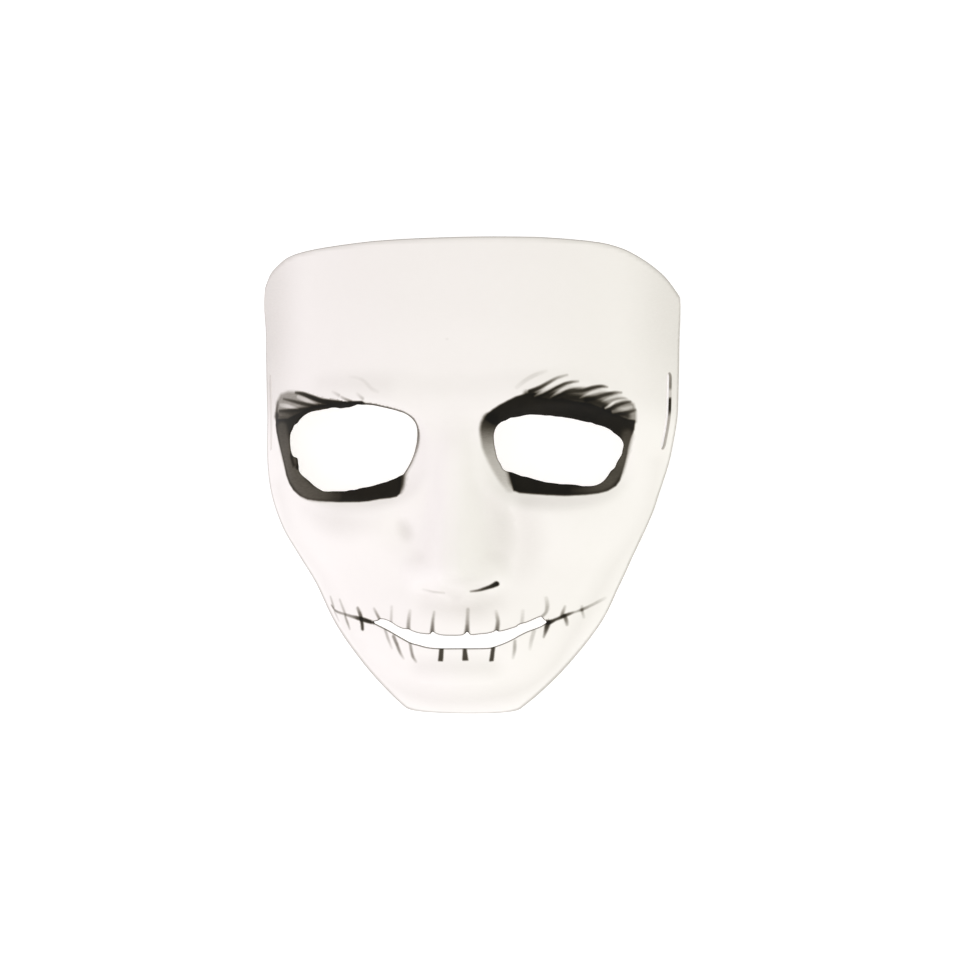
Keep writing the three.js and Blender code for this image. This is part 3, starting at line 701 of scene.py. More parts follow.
# A faint painted shade over the forehead, which the light reaches less than the cheeks.
FOREHEAD_PAINTED_SHADE = [(-88, 92), (-88, 36), (-40, 36), (-12, 20), (12, 20), (40, 36), (86, 36), (88, 92)]
patches = [LEFT_LINER, LEFT_HAZE, RIGHT_LINER, RIGHT_HAZE] + SQUARE_STITCHES
print("filled shapes:", len(patches))

# %% [markdown]
# One sheet of evenly spread points would need a million triangles to hold a soft brush edge. So the spacing
# is to grow with the distance from the nearest mark or cut edge. Search trees answer quickly how far each
# point of the unrolled sheet is from these.

# %% Search trees for the cut edges and the marks
MARK_STEP = 0.4

flat_loops = [unroll(turn_of(loop[:, 0], loop[:, 1]), loop[:, 1]) for loop in loops]


def tree_of(flat):
    tree = kdtree.KDTree(len(flat))
    for index, (u, v) in enumerate(flat):
        tree.insert((u, v, 0), index)
    tree.balance()
    return tree


def nearest_in(tree, flat):
    found = [tree.find((u, v, 0))[1:] for u, v in flat]
    return np.array([row[0] for row in found]), np.array([row[1] for row in found])


def dense_path(path, step):
    corner = np.array(path, float)[:, :2]
    run = np.concatenate([[0], np.cumsum(np.hypot(*np.diff(corner, axis=0).T))])
    places = np.linspace(0, run[-1], max(2, round(run[-1] / step)))
    return np.stack([np.interp(places, run, corner[:, axis]) for axis in (0, 1)], -1)


def painted_places():
    paths = [path for group in sharp_marks for path in group]
    paths = paths + [patch + patch[:1] for patch in patches]
    paths = paths + [[(x - half, y) for x, y, half, dark in path] for path in FADED_CORNER]
    plan = np.vstack([dense_path(path, MARK_STEP) for path in paths])
    return unroll(turn_of(plan[:, 0], plan[:, 1]), plan[:, 1])


loop_steps = np.vstack([np.roll(flat, -1, axis=0) - flat for flat in flat_loops])
loop_gaps = np.linalg.norm(loop_steps, axis=1)
loop_tree = tree_of(np.vstack(flat_loops))
mark_places = painted_places()
mark_tree = tree_of(mark_places)
print("points on cut edges and on marks:", len(loop_gaps), len(mark_places))

# %% [markdown]
# Now the points are spread, fine on the paint and coarse on the bare forehead. Staggered rows at three
# spacings are laid over each other, and each place keeps the row that suits it. The back has no paint, so
# one spacing does for it.

# %% Spread points over the unrolled sheet
FINE_SPACING = 0.42
FINE_REACH = 1.0
SPACING_GROWTH = 0.45
OUTER_SPACING = 1.7
INNER_SPACING = 2.2
EDGE_CLEARANCE = 0.8
EDGE_SHARE = 0.6
OUTER_ROOM = 0.8
INNER_ROOM = 2.0
TOO_COARSE = 0.75
TOO_FINE = 1.5
OUTER_LEVELS = 3
TINY = 1e-12


def inside(flat, loop):
    u, v = flat.T
    within = np.zeros(len(flat), bool)
    for (au, av), (bu, bv) in zip(loop, np.roll(loop, -1, axis=0)):
        spans = (av > v) != (bv > v)
        within ^= spans & (u < au + (bu - au) * (v - av) / (bv - av + TINY))
    return within


def on_sheet(flat):
    kept = inside(flat, flat_loops[0])
    for hole in flat_loops[1:]:
        kept &= ~inside(flat, hole)
    return kept


def staggered(spacing):
    low = flat_loops[0].min(0)
    high = flat_loops[0].max(0)
    rows = np.arange(low[1], high[1], spacing * math.sqrt(3) / 2)
    columns = np.arange(low[0], high[0], spacing)
    shift = np.where(np.arange(len(rows)) % 2 == 0, 0.0, spacing / 2)
    u = (columns[None, :] + shift[:, None]).ravel()
    return np.stack([u, np.repeat(rows, len(columns))], -1)


def spread_points(coarsest, levels, room):
    """Points over the sheet that keep off its edges by at least the room that the rounded edge takes up."""
    kept = []
    for level in range(levels):
        spacing = coarsest / 2 ** level
        flat = staggered(spacing)
        near, to_loop = nearest_in(loop_tree, flat)
        wanted = np.minimum(coarsest, loop_gaps[near] + SPACING_GROWTH * to_loop)
        if levels > 1:
            to_mark = nearest_in(mark_tree, flat)[1]
            beside_mark = FINE_SPACING + SPACING_GROWTH * np.maximum(0, to_mark - FINE_REACH)
            wanted = np.minimum(wanted, beside_mark)
        suits = (wanted > spacing * TOO_COARSE) | (level == levels - 1)
        suits &= (wanted <= spacing * TOO_FINE) | (level == 0)
        edge_gap = EDGE_CLEARANCE * np.maximum(loop_gaps[near], spacing * EDGE_SHARE)
        suits &= to_loop > np.maximum(room, edge_gap)
        flat = flat[suits]
        kept.append(flat[on_sheet(flat)])
    return np.vstack(kept)


outer_points = spread_points(OUTER_SPACING, OUTER_LEVELS, OUTER_ROOM)
inner_points = spread_points(INNER_SPACING, 1, INNER_ROOM)
print("points on the outer and inner face:", len(outer_points), len(inner_points))

# %% [markdown]
# A triangulation that keeps the outlines as edges joins the points. Triangles in the holes are thrown away.
# The same function makes both faces of the sheet, so their edges meet point for point.

# %% Join the points into triangles
MERGE_DISTANCE = 1e-7


def triangulate(free_points):
    corners = np.vstack(flat_loops + [free_points])
    edges = []
    start = 0
    for flat in flat_loops:
        count = len(flat)
        edges += [(start + i, start + (i + 1) % count) for i in range(count)]
        start += count
    made = delaunay_2d_cdt([Vector(point) for point in corners], edges, [], 0, MERGE_DISTANCE)
    flat = np.array([point[:] for point in made[0]])
    triangles = np.array(made[2])
    triangles = triangles[on_sheet(flat[triangles].mean(1))]
    a, b, c = (flat[triangles[:, k]] for k in range(3))
    turned = (b - a)[:, 0] * (c - a)[:, 1] - (b - a)[:, 1] * (c - a)[:, 0] < 0
    triangles[turned] = triangles[turned][:, ::-1]
    return flat, triangles


outer_flat, outer_triangles = triangulate(outer_points)
inner_flat, inner_triangles = triangulate(inner_points)
edge_count = sum(len(flat) for flat in flat_loops)
print("triangles on the outer and inner face:", len(outer_triangles), len(inner_triangles))

# %% [markdown]
# A trimmed edge is never sharp: the knife leaves it slightly rounded, and that thin rounded line catches
# the light. A bevel modifier would struggle with this many tiny triangles, so the edge is built as rings of
# points instead. They lead from the outer face round the cut wall to the inner face, along a curve at each
# corner.

# %% Round the cut edges and close the sheet
OUTER_ROUND = 0.5
INNER_ROUND = 0.2
ROUND_STEPS = (0.0, 1 / 3, 2 / 3, 1.0)
LEAST_LEAN = 0.5


def corner_curve(start, corner, end, s):
    return (1 - s) ** 2 * start + 2 * s * (1 - s) * corner + s ** 2 * end


def edge_rings(rows):
    corner = rows[:, :3]
    normal = face_normal(turn_of(corner[:, 0], corner[:, 1]), corner[:, 1])
    along = unit(np.roll(corner, -1, axis=0) - np.roll(corner, 1, axis=0))
    wall = unit(np.cross(rows[:, 3:], along))
    lean = np.sum(wall * normal, axis=1, keepdims=True)
    wall = wall * np.sign(lean)
    into_sheet = unit(np.cross(normal, along))
    back = corner - wall * WALL / np.maximum(np.abs(lean), LEAST_LEAN)
    outer = (corner + OUTER_ROUND * into_sheet, corner, corner - OUTER_ROUND * wall)
    inner = (back + INNER_ROUND * wall, back, back + INNER_ROUND * into_sheet)
    return [corner_curve(*points, s) for points in (outer, inner) for s in ROUND_STEPS]


rings = [np.vstack(ring) for ring in zip(*[edge_rings(loop) for loop in loops])]
outer_turn, outer_y = roll_up(outer_flat[edge_count:])
inner_turn, inner_y = roll_up(inner_flat[edge_count:])
outer_places = np.vstack([rings[0], face_point(outer_turn, outer_y)])
inner_free = face_point(inner_turn, inner_y) - WALL * face_normal(inner_turn, inner_y)
inner_places = np.vstack([rings[-1], inner_free])
places = np.vstack([outer_places] + rings[1:-1] + [inner_places])
middle_y = (places[:, 1].max() + places[:, 1].min()) / 2
places[:, 1] -= middle_y
print("sheet, mm:", np.round(places.min(0), 2), np.round(places.max(0), 2))

# %% [markdown]
# The rings are joined into bands of four-sided faces, which close the sheet between its two sides. All that
# is needed for it is the number of each ring's first point.

# %% Number the faces of the closed sheet
def ring_vertices(ring):
    if ring == len(rings) - 1:
        return np.arange(edge_count) + len(places) - len(inner_places)
    if ring == 0:
        return np.arange(edge_count)
    return np.arange(edge_count) + len(outer_places) + (ring - 1) * edge_count


loop_sizes = [len(flat) for flat in flat_loops]
loop_starts = np.cumsum([0] + loop_sizes[:-1])
next_along = [np.roll(np.arange(size), -1) + start for size, start in zip(loop_sizes, loop_starts)]
next_along = np.concatenate(next_along)
band_quads = []
for ring in range(len(rings) - 1):
    first = ring_vertices(ring)
    second = ring_vertices(ring + 1)
    band_quads.append(np.stack([first, second, second[next_along], first[next_along]], -1))
inner_faces = inner_triangles[:, ::-1] + len(places) - len(inner_places)
faces = outer_triangles.tolist() + np.vstack(band_quads).tolist() + inner_faces.tolist()
print("faces of the closed sheet:", len(faces))

# %% [markdown]
# The mesh carries three numbers at each point: how much it belongs to the front, how near it is to a cut
# edge, and how much ink lies on it, which also carries the painted shade along the rim and the painted shadow
# in the strap slots. Materials can read such attributes, and they survive every later step.

# %% Make the mesh and its attributes
RING_FRONT = (1.0, 1.0, 1.0, 1.0, 0.0, 0.0, 0.0, 0.0)
RING_EDGE = (0.0, 0.8, 1.0, 1.0, 1.0, 1.0, 0.7, 0.0)
SLOT_EDGE = 0.1
# Painted shadow in the strap slots and painted shade along the rim, where the steep wall turns from the
# light, go into the ink.
RING_SLOT_SHADOW = (0.0, 0.4, 1.0, 1.0, 1.0, 1.0, 0.4, 0.0)
SLOT_PAINTED_SHADOW = table("y right left", [
    [10, 0.25, 0.0], [25, 0.3, 0.0], [27.4, 0.9, 0.0], [32.2, 0.9, 0.0], [33, 0.1, 0.0], [35.5, 0.1, 0.0],
    [37, 0.5, 0.0], [43, 0.35, 0.0],
])
RING_RIM_PAINTED_SHADE = (1.0, 1.0, 1.0, 1.0, 0.8, 0.5, 0.2, 0.0)
RIM_PAINTED_SHADE = table("y left right darkness", [
    [-100, 3.2, 3.0, 0.30], [-88, 3.4, 2.4, 0.30], [-60, 3.2, 1.7, 0.28], [-20, 3.0, 1.7, 0.26],
    [55, 2.2, 1.6, 0.24], [80, 1.2, 1.2, 0.14], [98, 1.2, 1.2, 0.11],
])
PAINTED_SHADE_FADE = (0.2, 1.8)

mesh = bpy.data.meshes.new("mask_sheet")
mesh.from_pydata((places * MM).tolist(), [], faces)
mesh.shade_smooth()
free_outer = len(outer_flat) - edge_count
free_inner = len(inner_flat) - edge_count


def point_values(ring_values, outer_value, inner_value):
    """One value for each point: the first ring, the outer face, the other rings and the inner face."""
    ring_parts = [np.zeros(edge_count) + value for value in ring_values]
    first_parts = [ring_parts[0], np.zeros(free_outer) + outer_value]
    return np.concatenate(first_parts + ring_parts[1:] + [np.full(free_inner, inner_value)])


# The painted shade along the rim and the painted shadow in the slots, per point.
rim_count = len(flat_loops[0])
slot_count = sum(len(slot) for slot in slots)
slot_painted_shadow = [np.zeros(edge_count - slot_count)]
for slot, side in zip(slots, ("right", "left")):
    slot_painted_shadow.append(np.interp(slot[:, 1], SLOT_PAINTED_SHADOW["y"], SLOT_PAINTED_SHADOW[side]))
slot_painted_shadow = np.concatenate(slot_painted_shadow)
rim_painted_shade = np.zeros(edge_count)
rim_painted_shade[:rim_count] = np.interp(rim[:, 1], RIM_PAINTED_SHADE["y"], RIM_PAINTED_SHADE["darkness"])
ring_painted_shade = [slot_painted_shadow * a + rim_painted_shade * b for a, b in zip(RING_SLOT_SHADOW, RING_RIM_PAINTED_SHADE)]
to_rim = nearest_in(tree_of(flat_loops[0]), outer_flat[edge_count:])[1]
left_reach, right_reach = (np.interp(outer_y, RIM_PAINTED_SHADE["y"], RIM_PAINTED_SHADE[side]) for side in ("left", "right"))
to_rim = to_rim / np.where(outer_turn < 0, left_reach, right_reach)
face_painted_shade = np.interp(outer_y, RIM_PAINTED_SHADE["y"], RIM_PAINTED_SHADE["darkness"]) * (1 - ease(to_rim, *PAINTED_SHADE_FADE))
trimmed = np.where(np.arange(edge_count) < edge_count - slot_count, 1.0, SLOT_EDGE)
for name, values in (
    ("front", point_values(RING_FRONT, 1.0, 0.0)),
    ("edge", point_values([trimmed * value for value in RING_EDGE], 0.0, 0.0)),
    ("ink", point_values(ring_painted_shade, face_painted_shade, 0.0)),
):
    mesh.attributes.new(name, "FLOAT", "POINT").data.foreach_set("value", values)
print("attributes:", [item.name for item in mesh.attributes if item.data_type == "FLOAT"])

# %% [markdown]
# A flat map goes with the mesh, so that its finishes can be baked. The sheet unrolls without overlaps, so
# no seams have to be marked: its front is laid out large and its back small beside it.

# %% Lay the sheet out on a map
FRONT_MAP = 0.78
BACK_MAP = 0.19
MAP_MARGIN = 0.01
RING_MAP_STEP = 0.12

flat_low = flat_loops[0].min(0)
flat_size = (flat_loops[0].max(0) - flat_low).max()


def on_map(flat, scale, corner_u):
    return (flat - flat_low) / flat_size * scale + np.array([corner_u, MAP_MARGIN])


along_edge = [unit(np.roll(flat, -1, axis=0) - np.roll(flat, 1, axis=0)) for flat in flat_loops]
off_sheet = np.vstack([np.stack([along[:, 1], -along[:, 0]], -1) for along in along_edge])
edge_flat = np.vstack(flat_loops)
map_rows = [on_map(outer_flat, FRONT_MAP, MAP_MARGIN)[outer_triangles].reshape(-1, 2)]
for ring in range(len(rings) - 1):
    steps = [edge_flat + off_sheet * RING_MAP_STEP * k for k in (ring, ring + 1)]
    first, second = (on_map(flat, FRONT_MAP, MAP_MARGIN) for flat in steps)
    map_rows.append(np.stack([first, second, second[next_along], first[next_along]], 1).reshape(-1, 2))
inner_map = on_map(inner_flat, BACK_MAP, FRONT_MAP + 2 * MAP_MARGIN)
map_rows.append(inner_map[inner_triangles[:, ::-1]].reshape(-1, 2))
mesh.uv_layers.new(name="OFBake").data.foreach_set("uv", np.vstack(map_rows).ravel())
mask_sheet = bpy.data.objects.new("mask_sheet", mesh)
bpy.context.scene.collection.objects.link(mask_sheet)
print("points, faces:", len(mesh.vertices), len(mesh.polygons), " whole:", not mesh.validate())

# %% [markdown]
# A few small helpers save a great deal of typing in node trees. One adds a node with its settings and its
# inputs, two are a single step of arithmetic with numbers or vectors, and one starts a geometry tree. The
# two finishes are only named here, because the coats of paint hand them out.

# %% Helpers for node trees
def node(tree, kind, inputs=None, **settings):
    made = tree.nodes.new(kind)
    for name, value in settings.items():
        setattr(made, name, value)
    for name, value in (inputs or {}).items():
        if isinstance(value, bpy.types.NodeSocket):
            tree.links.new(value, made.inputs[name])
        else:
            made.inputs[name].default_value = value
    return made


def sum_of(tree, operation, *values, clamp=False):
    made = node(tree, "ShaderNodeMath", dict(enumerate(values)), operation=operation, use_clamp=clamp)
    return made.outputs[0]


def vector_of(tree, operation, *values):
    made = node(tree, "ShaderNodeVectorMath", dict(enumerate(values)), operation=operation)
    return made.outputs["Value" if operation == "DISTANCE" else "Vector"]


def geometry_tree(name, inputs):
    tree = bpy.data.node_groups.new(name, "GeometryNodeTree")
    tree.interface.new_socket("Geometry", in_out="INPUT", socket_type="NodeSocketGeometry")
    for label, kind, value in inputs:
        socket = tree.interface.new_socket(label, in_out="INPUT", socket_type="NodeSocket" + kind)
        if value is not None:
            socket.default_value = value
    tree.interface.new_socket("Geometry", in_out="OUTPUT", socket_type="NodeSocketGeometry")
    return tree


face_finish = bpy.data.materials.new("painted_white_face")
back_finish = bpy.data.materials.new("bare_white_back")
print("finishes named:", face_finish.name, back_finish.name)

# %% [markdown]
# Paint follows the surface, so Geometry Nodes lay it on. For each point of the sheet a tree finds the
# nearest mark in plan, compares the distance with the brush's half width there, and mixes the mark's tone
# into the ink. A little noise moves the point first, so that no brush edge is perfectly straight. Tone 1
# paints and tone 0 lifts.

# %% A tree for ink on the front, shared by marks and filled shapes
PAINT_INPUTS = [
    ("Guide", "Object", None), ("Feather", "Float", 0.0005), ("Wander", "Float", 0.0002),
    ("Wander size", "Float", 0.0015), ("Cover", "Float", 1.0), ("Tone", "Float", 1.0), ("Seed", "Int", 1),
    ("Face finish", "Material", None), ("Back finish", "Material", None),
]
FRONT_LIMIT = 0.4


def named(tree, name):
    made = node(tree, "GeometryNodeInputNamedAttribute", {"Name": name}, data_type="FLOAT")
    return made.outputs["Attribute"]


def wandering_place(tree, given):
    """The point's place in plan, moved a little by noise."""
    place = node(tree, "GeometryNodeInputPosition").outputs[0]
    rate = sum_of(tree, "DIVIDE", 1.0, given["Wander size"])
    noise = node(tree, "ShaderNodeTexNoise", {
        "Vector": place, "W": given["Seed"], "Scale": rate, "Detail": 2.0,
    }, noise_dimensions="4D").outputs["Color"]
    drift = vector_of(tree, "SUBTRACT", noise, (0.5, 0.5, 0.5))
    drift = node(tree, "ShaderNodeVectorMath", {0: drift, "Scale": given["Wander"]}, operation="SCALE")
    moved = vector_of(tree, "ADD", place, drift.outputs["Vector"])
    return vector_of(tree, "MULTIPLY", moved, (1.0, 1.0, 0.0))


def mix_ink(tree, given, cover):
    """Mixes the tone into the ink where the cover says, keeps off the back, and closes the tree."""
    cover = sum_of(tree, "MULTIPLY", cover, given["Cover"])
    cover = sum_of(tree, "MULTIPLY", cover, named(tree, "front"), clamp=True)
    ink = named(tree, "ink")
    change = sum_of(tree, "MULTIPLY", sum_of(tree, "SUBTRACT", given["Tone"], ink), cover)
    stored = node(tree, "GeometryNodeStoreNamedAttribute", {
        "Geometry": given["Geometry"], "Name": "ink", "Value": sum_of(tree, "ADD", ink, change),
    }, data_type="FLOAT", domain="POINT").outputs[0]
    real = node(tree, "GeometryNodeRealizeInstances", {0: stored}).outputs[0]
    on_front = sum_of(tree, "GREATER_THAN", named(tree, "front"), FRONT_LIMIT)
    backed = node(tree, "GeometryNodeSetMaterial", {
        "Geometry": real, "Material": given["Back finish"],
    }).outputs[0]
    faced = node(tree, "GeometryNodeSetMaterial", {
        "Geometry": backed, "Selection": on_front, "Material": given["Face finish"],
    }).outputs[0]
    node(tree, "NodeGroupOutput", {"Geometry": faced})


def falling_off(tree, distance, feather):
    """1 up to half a feather inside the edge, falling smoothly to 0 half a feather outside it."""
    inward = sum_of(tree, "SUBTRACT", 0.5, sum_of(tree, "DIVIDE", distance, feather), clamp=True)
    return node(tree, "ShaderNodeMapRange", {"Value": inward}, interpolation_type="SMOOTHSTEP").outputs[0]


print("inputs of a paint tree:", len(PAINT_INPUTS))

# %% [markdown]
# A brush mark is a path. Its tree turns the path into a smooth curve with many points, and each point of
# the sheet reads the half width and the darkness of the nearest one.

# %% The brush: ink along paths with a half width and a darkness
def brush_tree():
    tree = geometry_tree("brush marks", PAINT_INPUTS + [("Point spacing", "Float", 0.0002)])
    given = node(tree, "NodeGroupInput").outputs
    guide = node(tree, "GeometryNodeObjectInfo", {"Object": given["Guide"]}).outputs["Geometry"]
    curve = node(tree, "GeometryNodeMeshToCurve", {"Mesh": guide}).outputs[0]
    curve = node(tree, "GeometryNodeCurveSplineType", {"Curve": curve}, spline_type="CATMULL_ROM").outputs[0]
    curve = node(tree, "GeometryNodeResampleCurve", {
        "Curve": curve, "Length": given["Point spacing"],
    }, mode="LENGTH").outputs[0]
    points = node(tree, "GeometryNodeCurveToPoints", {"Curve": curve}, mode="EVALUATED").outputs["Points"]
    place = wandering_place(tree, given)
    nearest = node(tree, "GeometryNodeSampleNearest", {
        "Geometry": points, "Sample Position": place,
    }).outputs[0]

    def there(value, kind):
        made = node(tree, "GeometryNodeSampleIndex", {"Geometry": points, "Index": nearest}, data_type=kind)
        tree.links.new(value, made.inputs["Value"])
        return made.outputs["Value"]

    middle = there(node(tree, "GeometryNodeInputPosition").outputs[0], "FLOAT_VECTOR")
    half = there(named(tree, "half_width"), "FLOAT")
    dark = there(named(tree, "dark"), "FLOAT")
    past_edge = sum_of(tree, "SUBTRACT", vector_of(tree, "DISTANCE", place, middle), half)
    cover = falling_off(tree, past_edge, given["Feather"])
    mix_ink(tree, given, sum_of(tree, "MULTIPLY", cover, dark))
    return tree


brush = brush_tree()
print("brush tree nodes:", len(brush.nodes))

# %% [markdown]
# A filled shape is a flat face. The distance to it is nothing inside it and grows outside, so the same soft
# edge works for it.

# %% The filled shape: ink inside an outline with a soft edge
def filled_tree():
    tree = geometry_tree("filled shape", PAINT_INPUTS)
    given = node(tree, "NodeGroupInput").outputs
    guide = node(tree, "GeometryNodeObjectInfo", {"Object": given["Guide"]}).outputs["Geometry"]
    near = node(tree, "GeometryNodeProximity", {0: guide, "Sample Position": wandering_place(tree, given)})
    half_feather = sum_of(tree, "MULTIPLY", given["Feather"], 0.5)
    past_edge = sum_of(tree, "SUBTRACT", near.outputs["Distance"], half_feather)
    mix_ink(tree, given, falling_off(tree, past_edge, given["Feather"]))
    return tree


filled = filled_tree()
print("filled shape tree nodes:", len(filled.nodes))

# %% [markdown]
# The trees need something to measure from, so each table becomes a small guide mesh that lies flat in plan:
# edges with two attributes for the marks of a brush, and faces for the filled shapes.

# %% Guides made from the tables
def in_plan(rows):
    plan = np.array(rows, float)[:, :2] - [0.0, middle_y]
    return [(x * MM, y * MM, 0.0) for x, y in plan]


def numbered(parts):
    """The rows of all parts in one list, and the numbers of each part's rows in it."""
    rows = [row for part in parts for row in part]
    starts = np.cumsum([0] + [len(part) for part in parts])
    return rows, [list(range(start, start + len(part))) for start, part in zip(starts, parts)]


def path_guide(name, group):
    guide = bpy.data.meshes.new(name)
    rows, numbers = numbered(group)
    links = [link for path in numbers for link in zip(path[:-1], path[1:])]
    guide.from_pydata(in_plan(rows), links, [])
    half_widths = [row[2] * MM for row in rows]
    darknesses = [row[3] for row in rows]
    for label, values in (("half_width", half_widths), ("dark", darknesses)):
        guide.attributes.new(label, "FLOAT", "POINT").data.foreach_set("value", values)
    return guide


def outline_guide(name, *outlines):
    guide = bpy.data.meshes.new(name)
    rows, numbers = numbered(outlines)
    guide.from_pydata(in_plan(rows), [], numbers)
    return guide


print("marks round the mouth and the eyes:", sum(len(group) for group in mouth_marks + eye_marks))

# %% [markdown]
# Each coat is a modifier that runs once: its tree paints the sheet, the result is kept as a plain mesh, and
# the guide is thrown away. The order is a painter's: broad shapes first, then hairs, lifted hairs and thin
# lines.

# %% Lay on the coats one after another
def lay_on(tree, guide_mesh, **values):
    """Runs one coat of paint over the sheet. Sizes are given in millimetres."""
    guide = bpy.data.objects.new(guide_mesh.name, guide_mesh)
    bpy.context.scene.collection.objects.link(guide)
    values = {"Guide": guide, "Face finish": face_finish, "Back finish": back_finish} | values
    coat = mask_sheet.modifiers.new(guide_mesh.name, "NODES")
    coat.node_group = tree
    identifiers = {item.name: item.identifier for item in tree.interface.items_tree if item.in_out == "INPUT"}
    for name, value in values.items():
        in_mm = name in ("Feather", "Wander", "Wander size")
        coat[identifiers[name]] = value * MM if in_mm else value
    evaluated = mask_sheet.evaluated_get(bpy.context.evaluated_depsgraph_get())
    painted = bpy.data.meshes.new_from_object(evaluated)
    mask_sheet.modifiers.clear()
    mask_sheet.data = painted
    bpy.data.objects.remove(guide)


# The first four coats are painted shade: a faint darkening of the forehead, of patches beside the nose, round
# the mouth and along the jaw, of the temples and of the pressed dent.
lay_on(filled, outline_guide("forehead_wash", FOREHEAD_PAINTED_SHADE), Feather=16.0, Cover=0.018, Seed=1)
lay_on(brush, path_guide("dull_patches", PAINTED_SHADE_PATCHES), Feather=11.0, Seed=2)
lay_on(brush, path_guide("dull_temples", PAINTED_SHADE_TEMPLES), Feather=28.0, Seed=17)
lay_on(brush, path_guide("pressed_spot", DENT_PAINTED_SHADE), Feather=4.0, Seed=18)
lay_on(brush, path_guide("specks", SPECKS), Feather=1.0, Seed=20)
lay_on(filled, outline_guide("left_haze", LEFT_HAZE), Feather=2.2, Cover=0.44, Seed=3)
lay_on(filled, outline_guide("right_haze", RIGHT_HAZE), Feather=1.6, Cover=0.47, Seed=4)
lay_on(filled, outline_guide("left_liner", LEFT_LINER), Feather=0.7, Cover=0.97, Seed=5)
lay_on(filled, outline_guide("right_liner", RIGHT_LINER), Feather=0.9, Cover=0.98, Seed=6)
lay_on(brush, path_guide("thin_paint", THIN_PAINT), Feather=2.4, Tone=0.74, Seed=19)
lay_on(brush, path_guide("faded_corner", FADED_CORNER), Feather=1.9, Seed=7)
lay_on(brush, path_guide("soft_shades", SOFT_SHADES), Feather=2.6, Seed=15)
lay_on(brush, path_guide("brow_hairs", BROW_HAIRS), Feather=1.0, Seed=8)
lay_on(brush, path_guide("lifted_hairs", LIFTED_HAIRS), Feather=0.9, Tone=0.0, Cover=0.9, Seed=9)
lay_on(brush, path_guide("eye_edge_line", EYE_EDGE_LINE), Feather=0.4, Wander=0.05, Seed=10)
lay_on(brush, path_guide("mouth_line", MOUTH_EDGE_SHADE), Feather=0.4, Wander=0.03, Seed=21)
lay_on(brush, path_guide("mouth_seams", MOUTH_SEAMS), Feather=0.7, Cover=0.95, Seed=11)
lay_on(brush, path_guide("upper_stitches", UPPER_STITCHES), Feather=0.95, Cover=0.85, Seed=12)
lay_on(brush, path_guide("lower_stitches", LOWER_STITCHES), Feather=0.9, Cover=0.9, Seed=13)
lay_on(filled, outline_guide("square_stitches", *SQUARE_STITCHES), Feather=0.6, Cover=0.82, Seed=16)
lay_on(brush, path_guide("nostril_lines", NOSTRIL_SHADES), Feather=0.7, Seed=14)
ink = np.zeros(len(mask_sheet.data.vertices))
mask_sheet.data.attributes["ink"].data.foreach_get("value", ink)
print("points with ink:", int((ink > 0).sum()), "of", len(ink))
print("finishes on the sheet:", len(mask_sheet.data.materials))

# %% [markdown]
# Moulded plastic is never perfectly even. It has a fine skin like an orange's, broad shallow waves where
# the sheet cooled, and a tone that drifts slightly. The front and the back share these, so they are one
# shader node group.

# %% The grain of moulded plastic, as a node group
SKIN_SCALE = 900.0
WAVE_SCALE = 70.0
DRIFT_SCALE = 28.0
MOTTLE_SCALE = 240.0
DRIFT_SHARE = 0.7
MOTTLE_SHARE = 0.3


def grain_group():
    tree = bpy.data.node_groups.new("moulded grain", "ShaderNodeTree")
    tree.interface.new_socket("Place", in_out="INPUT", socket_type="NodeSocketVector")
    tree.interface.new_socket("Skin", in_out="INPUT", socket_type="NodeSocketFloat").default_value = 0.3
    tree.interface.new_socket("Height", in_out="OUTPUT", socket_type="NodeSocketFloat")
    tree.interface.new_socket("Tone", in_out="OUTPUT", socket_type="NodeSocketFloat")
    given = node(tree, "NodeGroupInput").outputs

    def noise(scale, detail):
        made = node(tree, "ShaderNodeTexNoise", {"Vector": given["Place"], "Scale": scale, "Detail": detail})
        return made.outputs[0]

    skin = sum_of(tree, "MULTIPLY", noise(SKIN_SCALE, 2.0), given["Skin"])
    height = sum_of(tree, "ADD", skin, noise(WAVE_SCALE, 1.0))
    mottle = sum_of(tree, "MULTIPLY", noise(MOTTLE_SCALE, 3.0), MOTTLE_SHARE)
    tone = sum_of(tree, "MULTIPLY_ADD", noise(DRIFT_SCALE, 3.0), DRIFT_SHARE, mottle)
    node(tree, "NodeGroupOutput", {"Height": height, "Tone": tone})
    return tree


grain = grain_group()
print("grain nodes:", len(grain.nodes))

# %% [markdown]
# Both finishes start from the same plastic: two close tones that drift into each other, and grey cut edges,
# partly dust held by the rough trimmed edge and partly painted shade of the edge.

# %% The plain plastic
PLASTIC_LIGHT = (0.905, 0.872, 0.842, 1.0)
PLASTIC_SHADE = (0.865, 0.828, 0.795, 1.0)
# The grey of the cut edges is partly dust and partly painted shade of the edge.
EDGE_DUST_AND_SHADE = (0.20, 0.19, 0.18, 1.0)
EDGE_DARKENING_SHARE = 0.8


def blended(tree, factor, first, second):
    made = node(tree, "ShaderNodeMix", data_type="RGBA")
    for index, value in ((0, factor), (6, first), (7, second)):
        if isinstance(value, bpy.types.NodeSocket):
            tree.links.new(value, made.inputs[index])
        else:
            made.inputs[index].default_value = value
    return made.outputs[2]


def attribute_of(tree, name):
    return node(tree, "ShaderNodeAttribute", attribute_name=name).outputs["Fac"]


def plain_start(material):
    material.use_nodes = True
    tree = material.node_tree
    shader = tree.nodes["Principled BSDF"]
    place = node(tree, "ShaderNodeTexCoord").outputs["Object"]
    return tree, shader, place


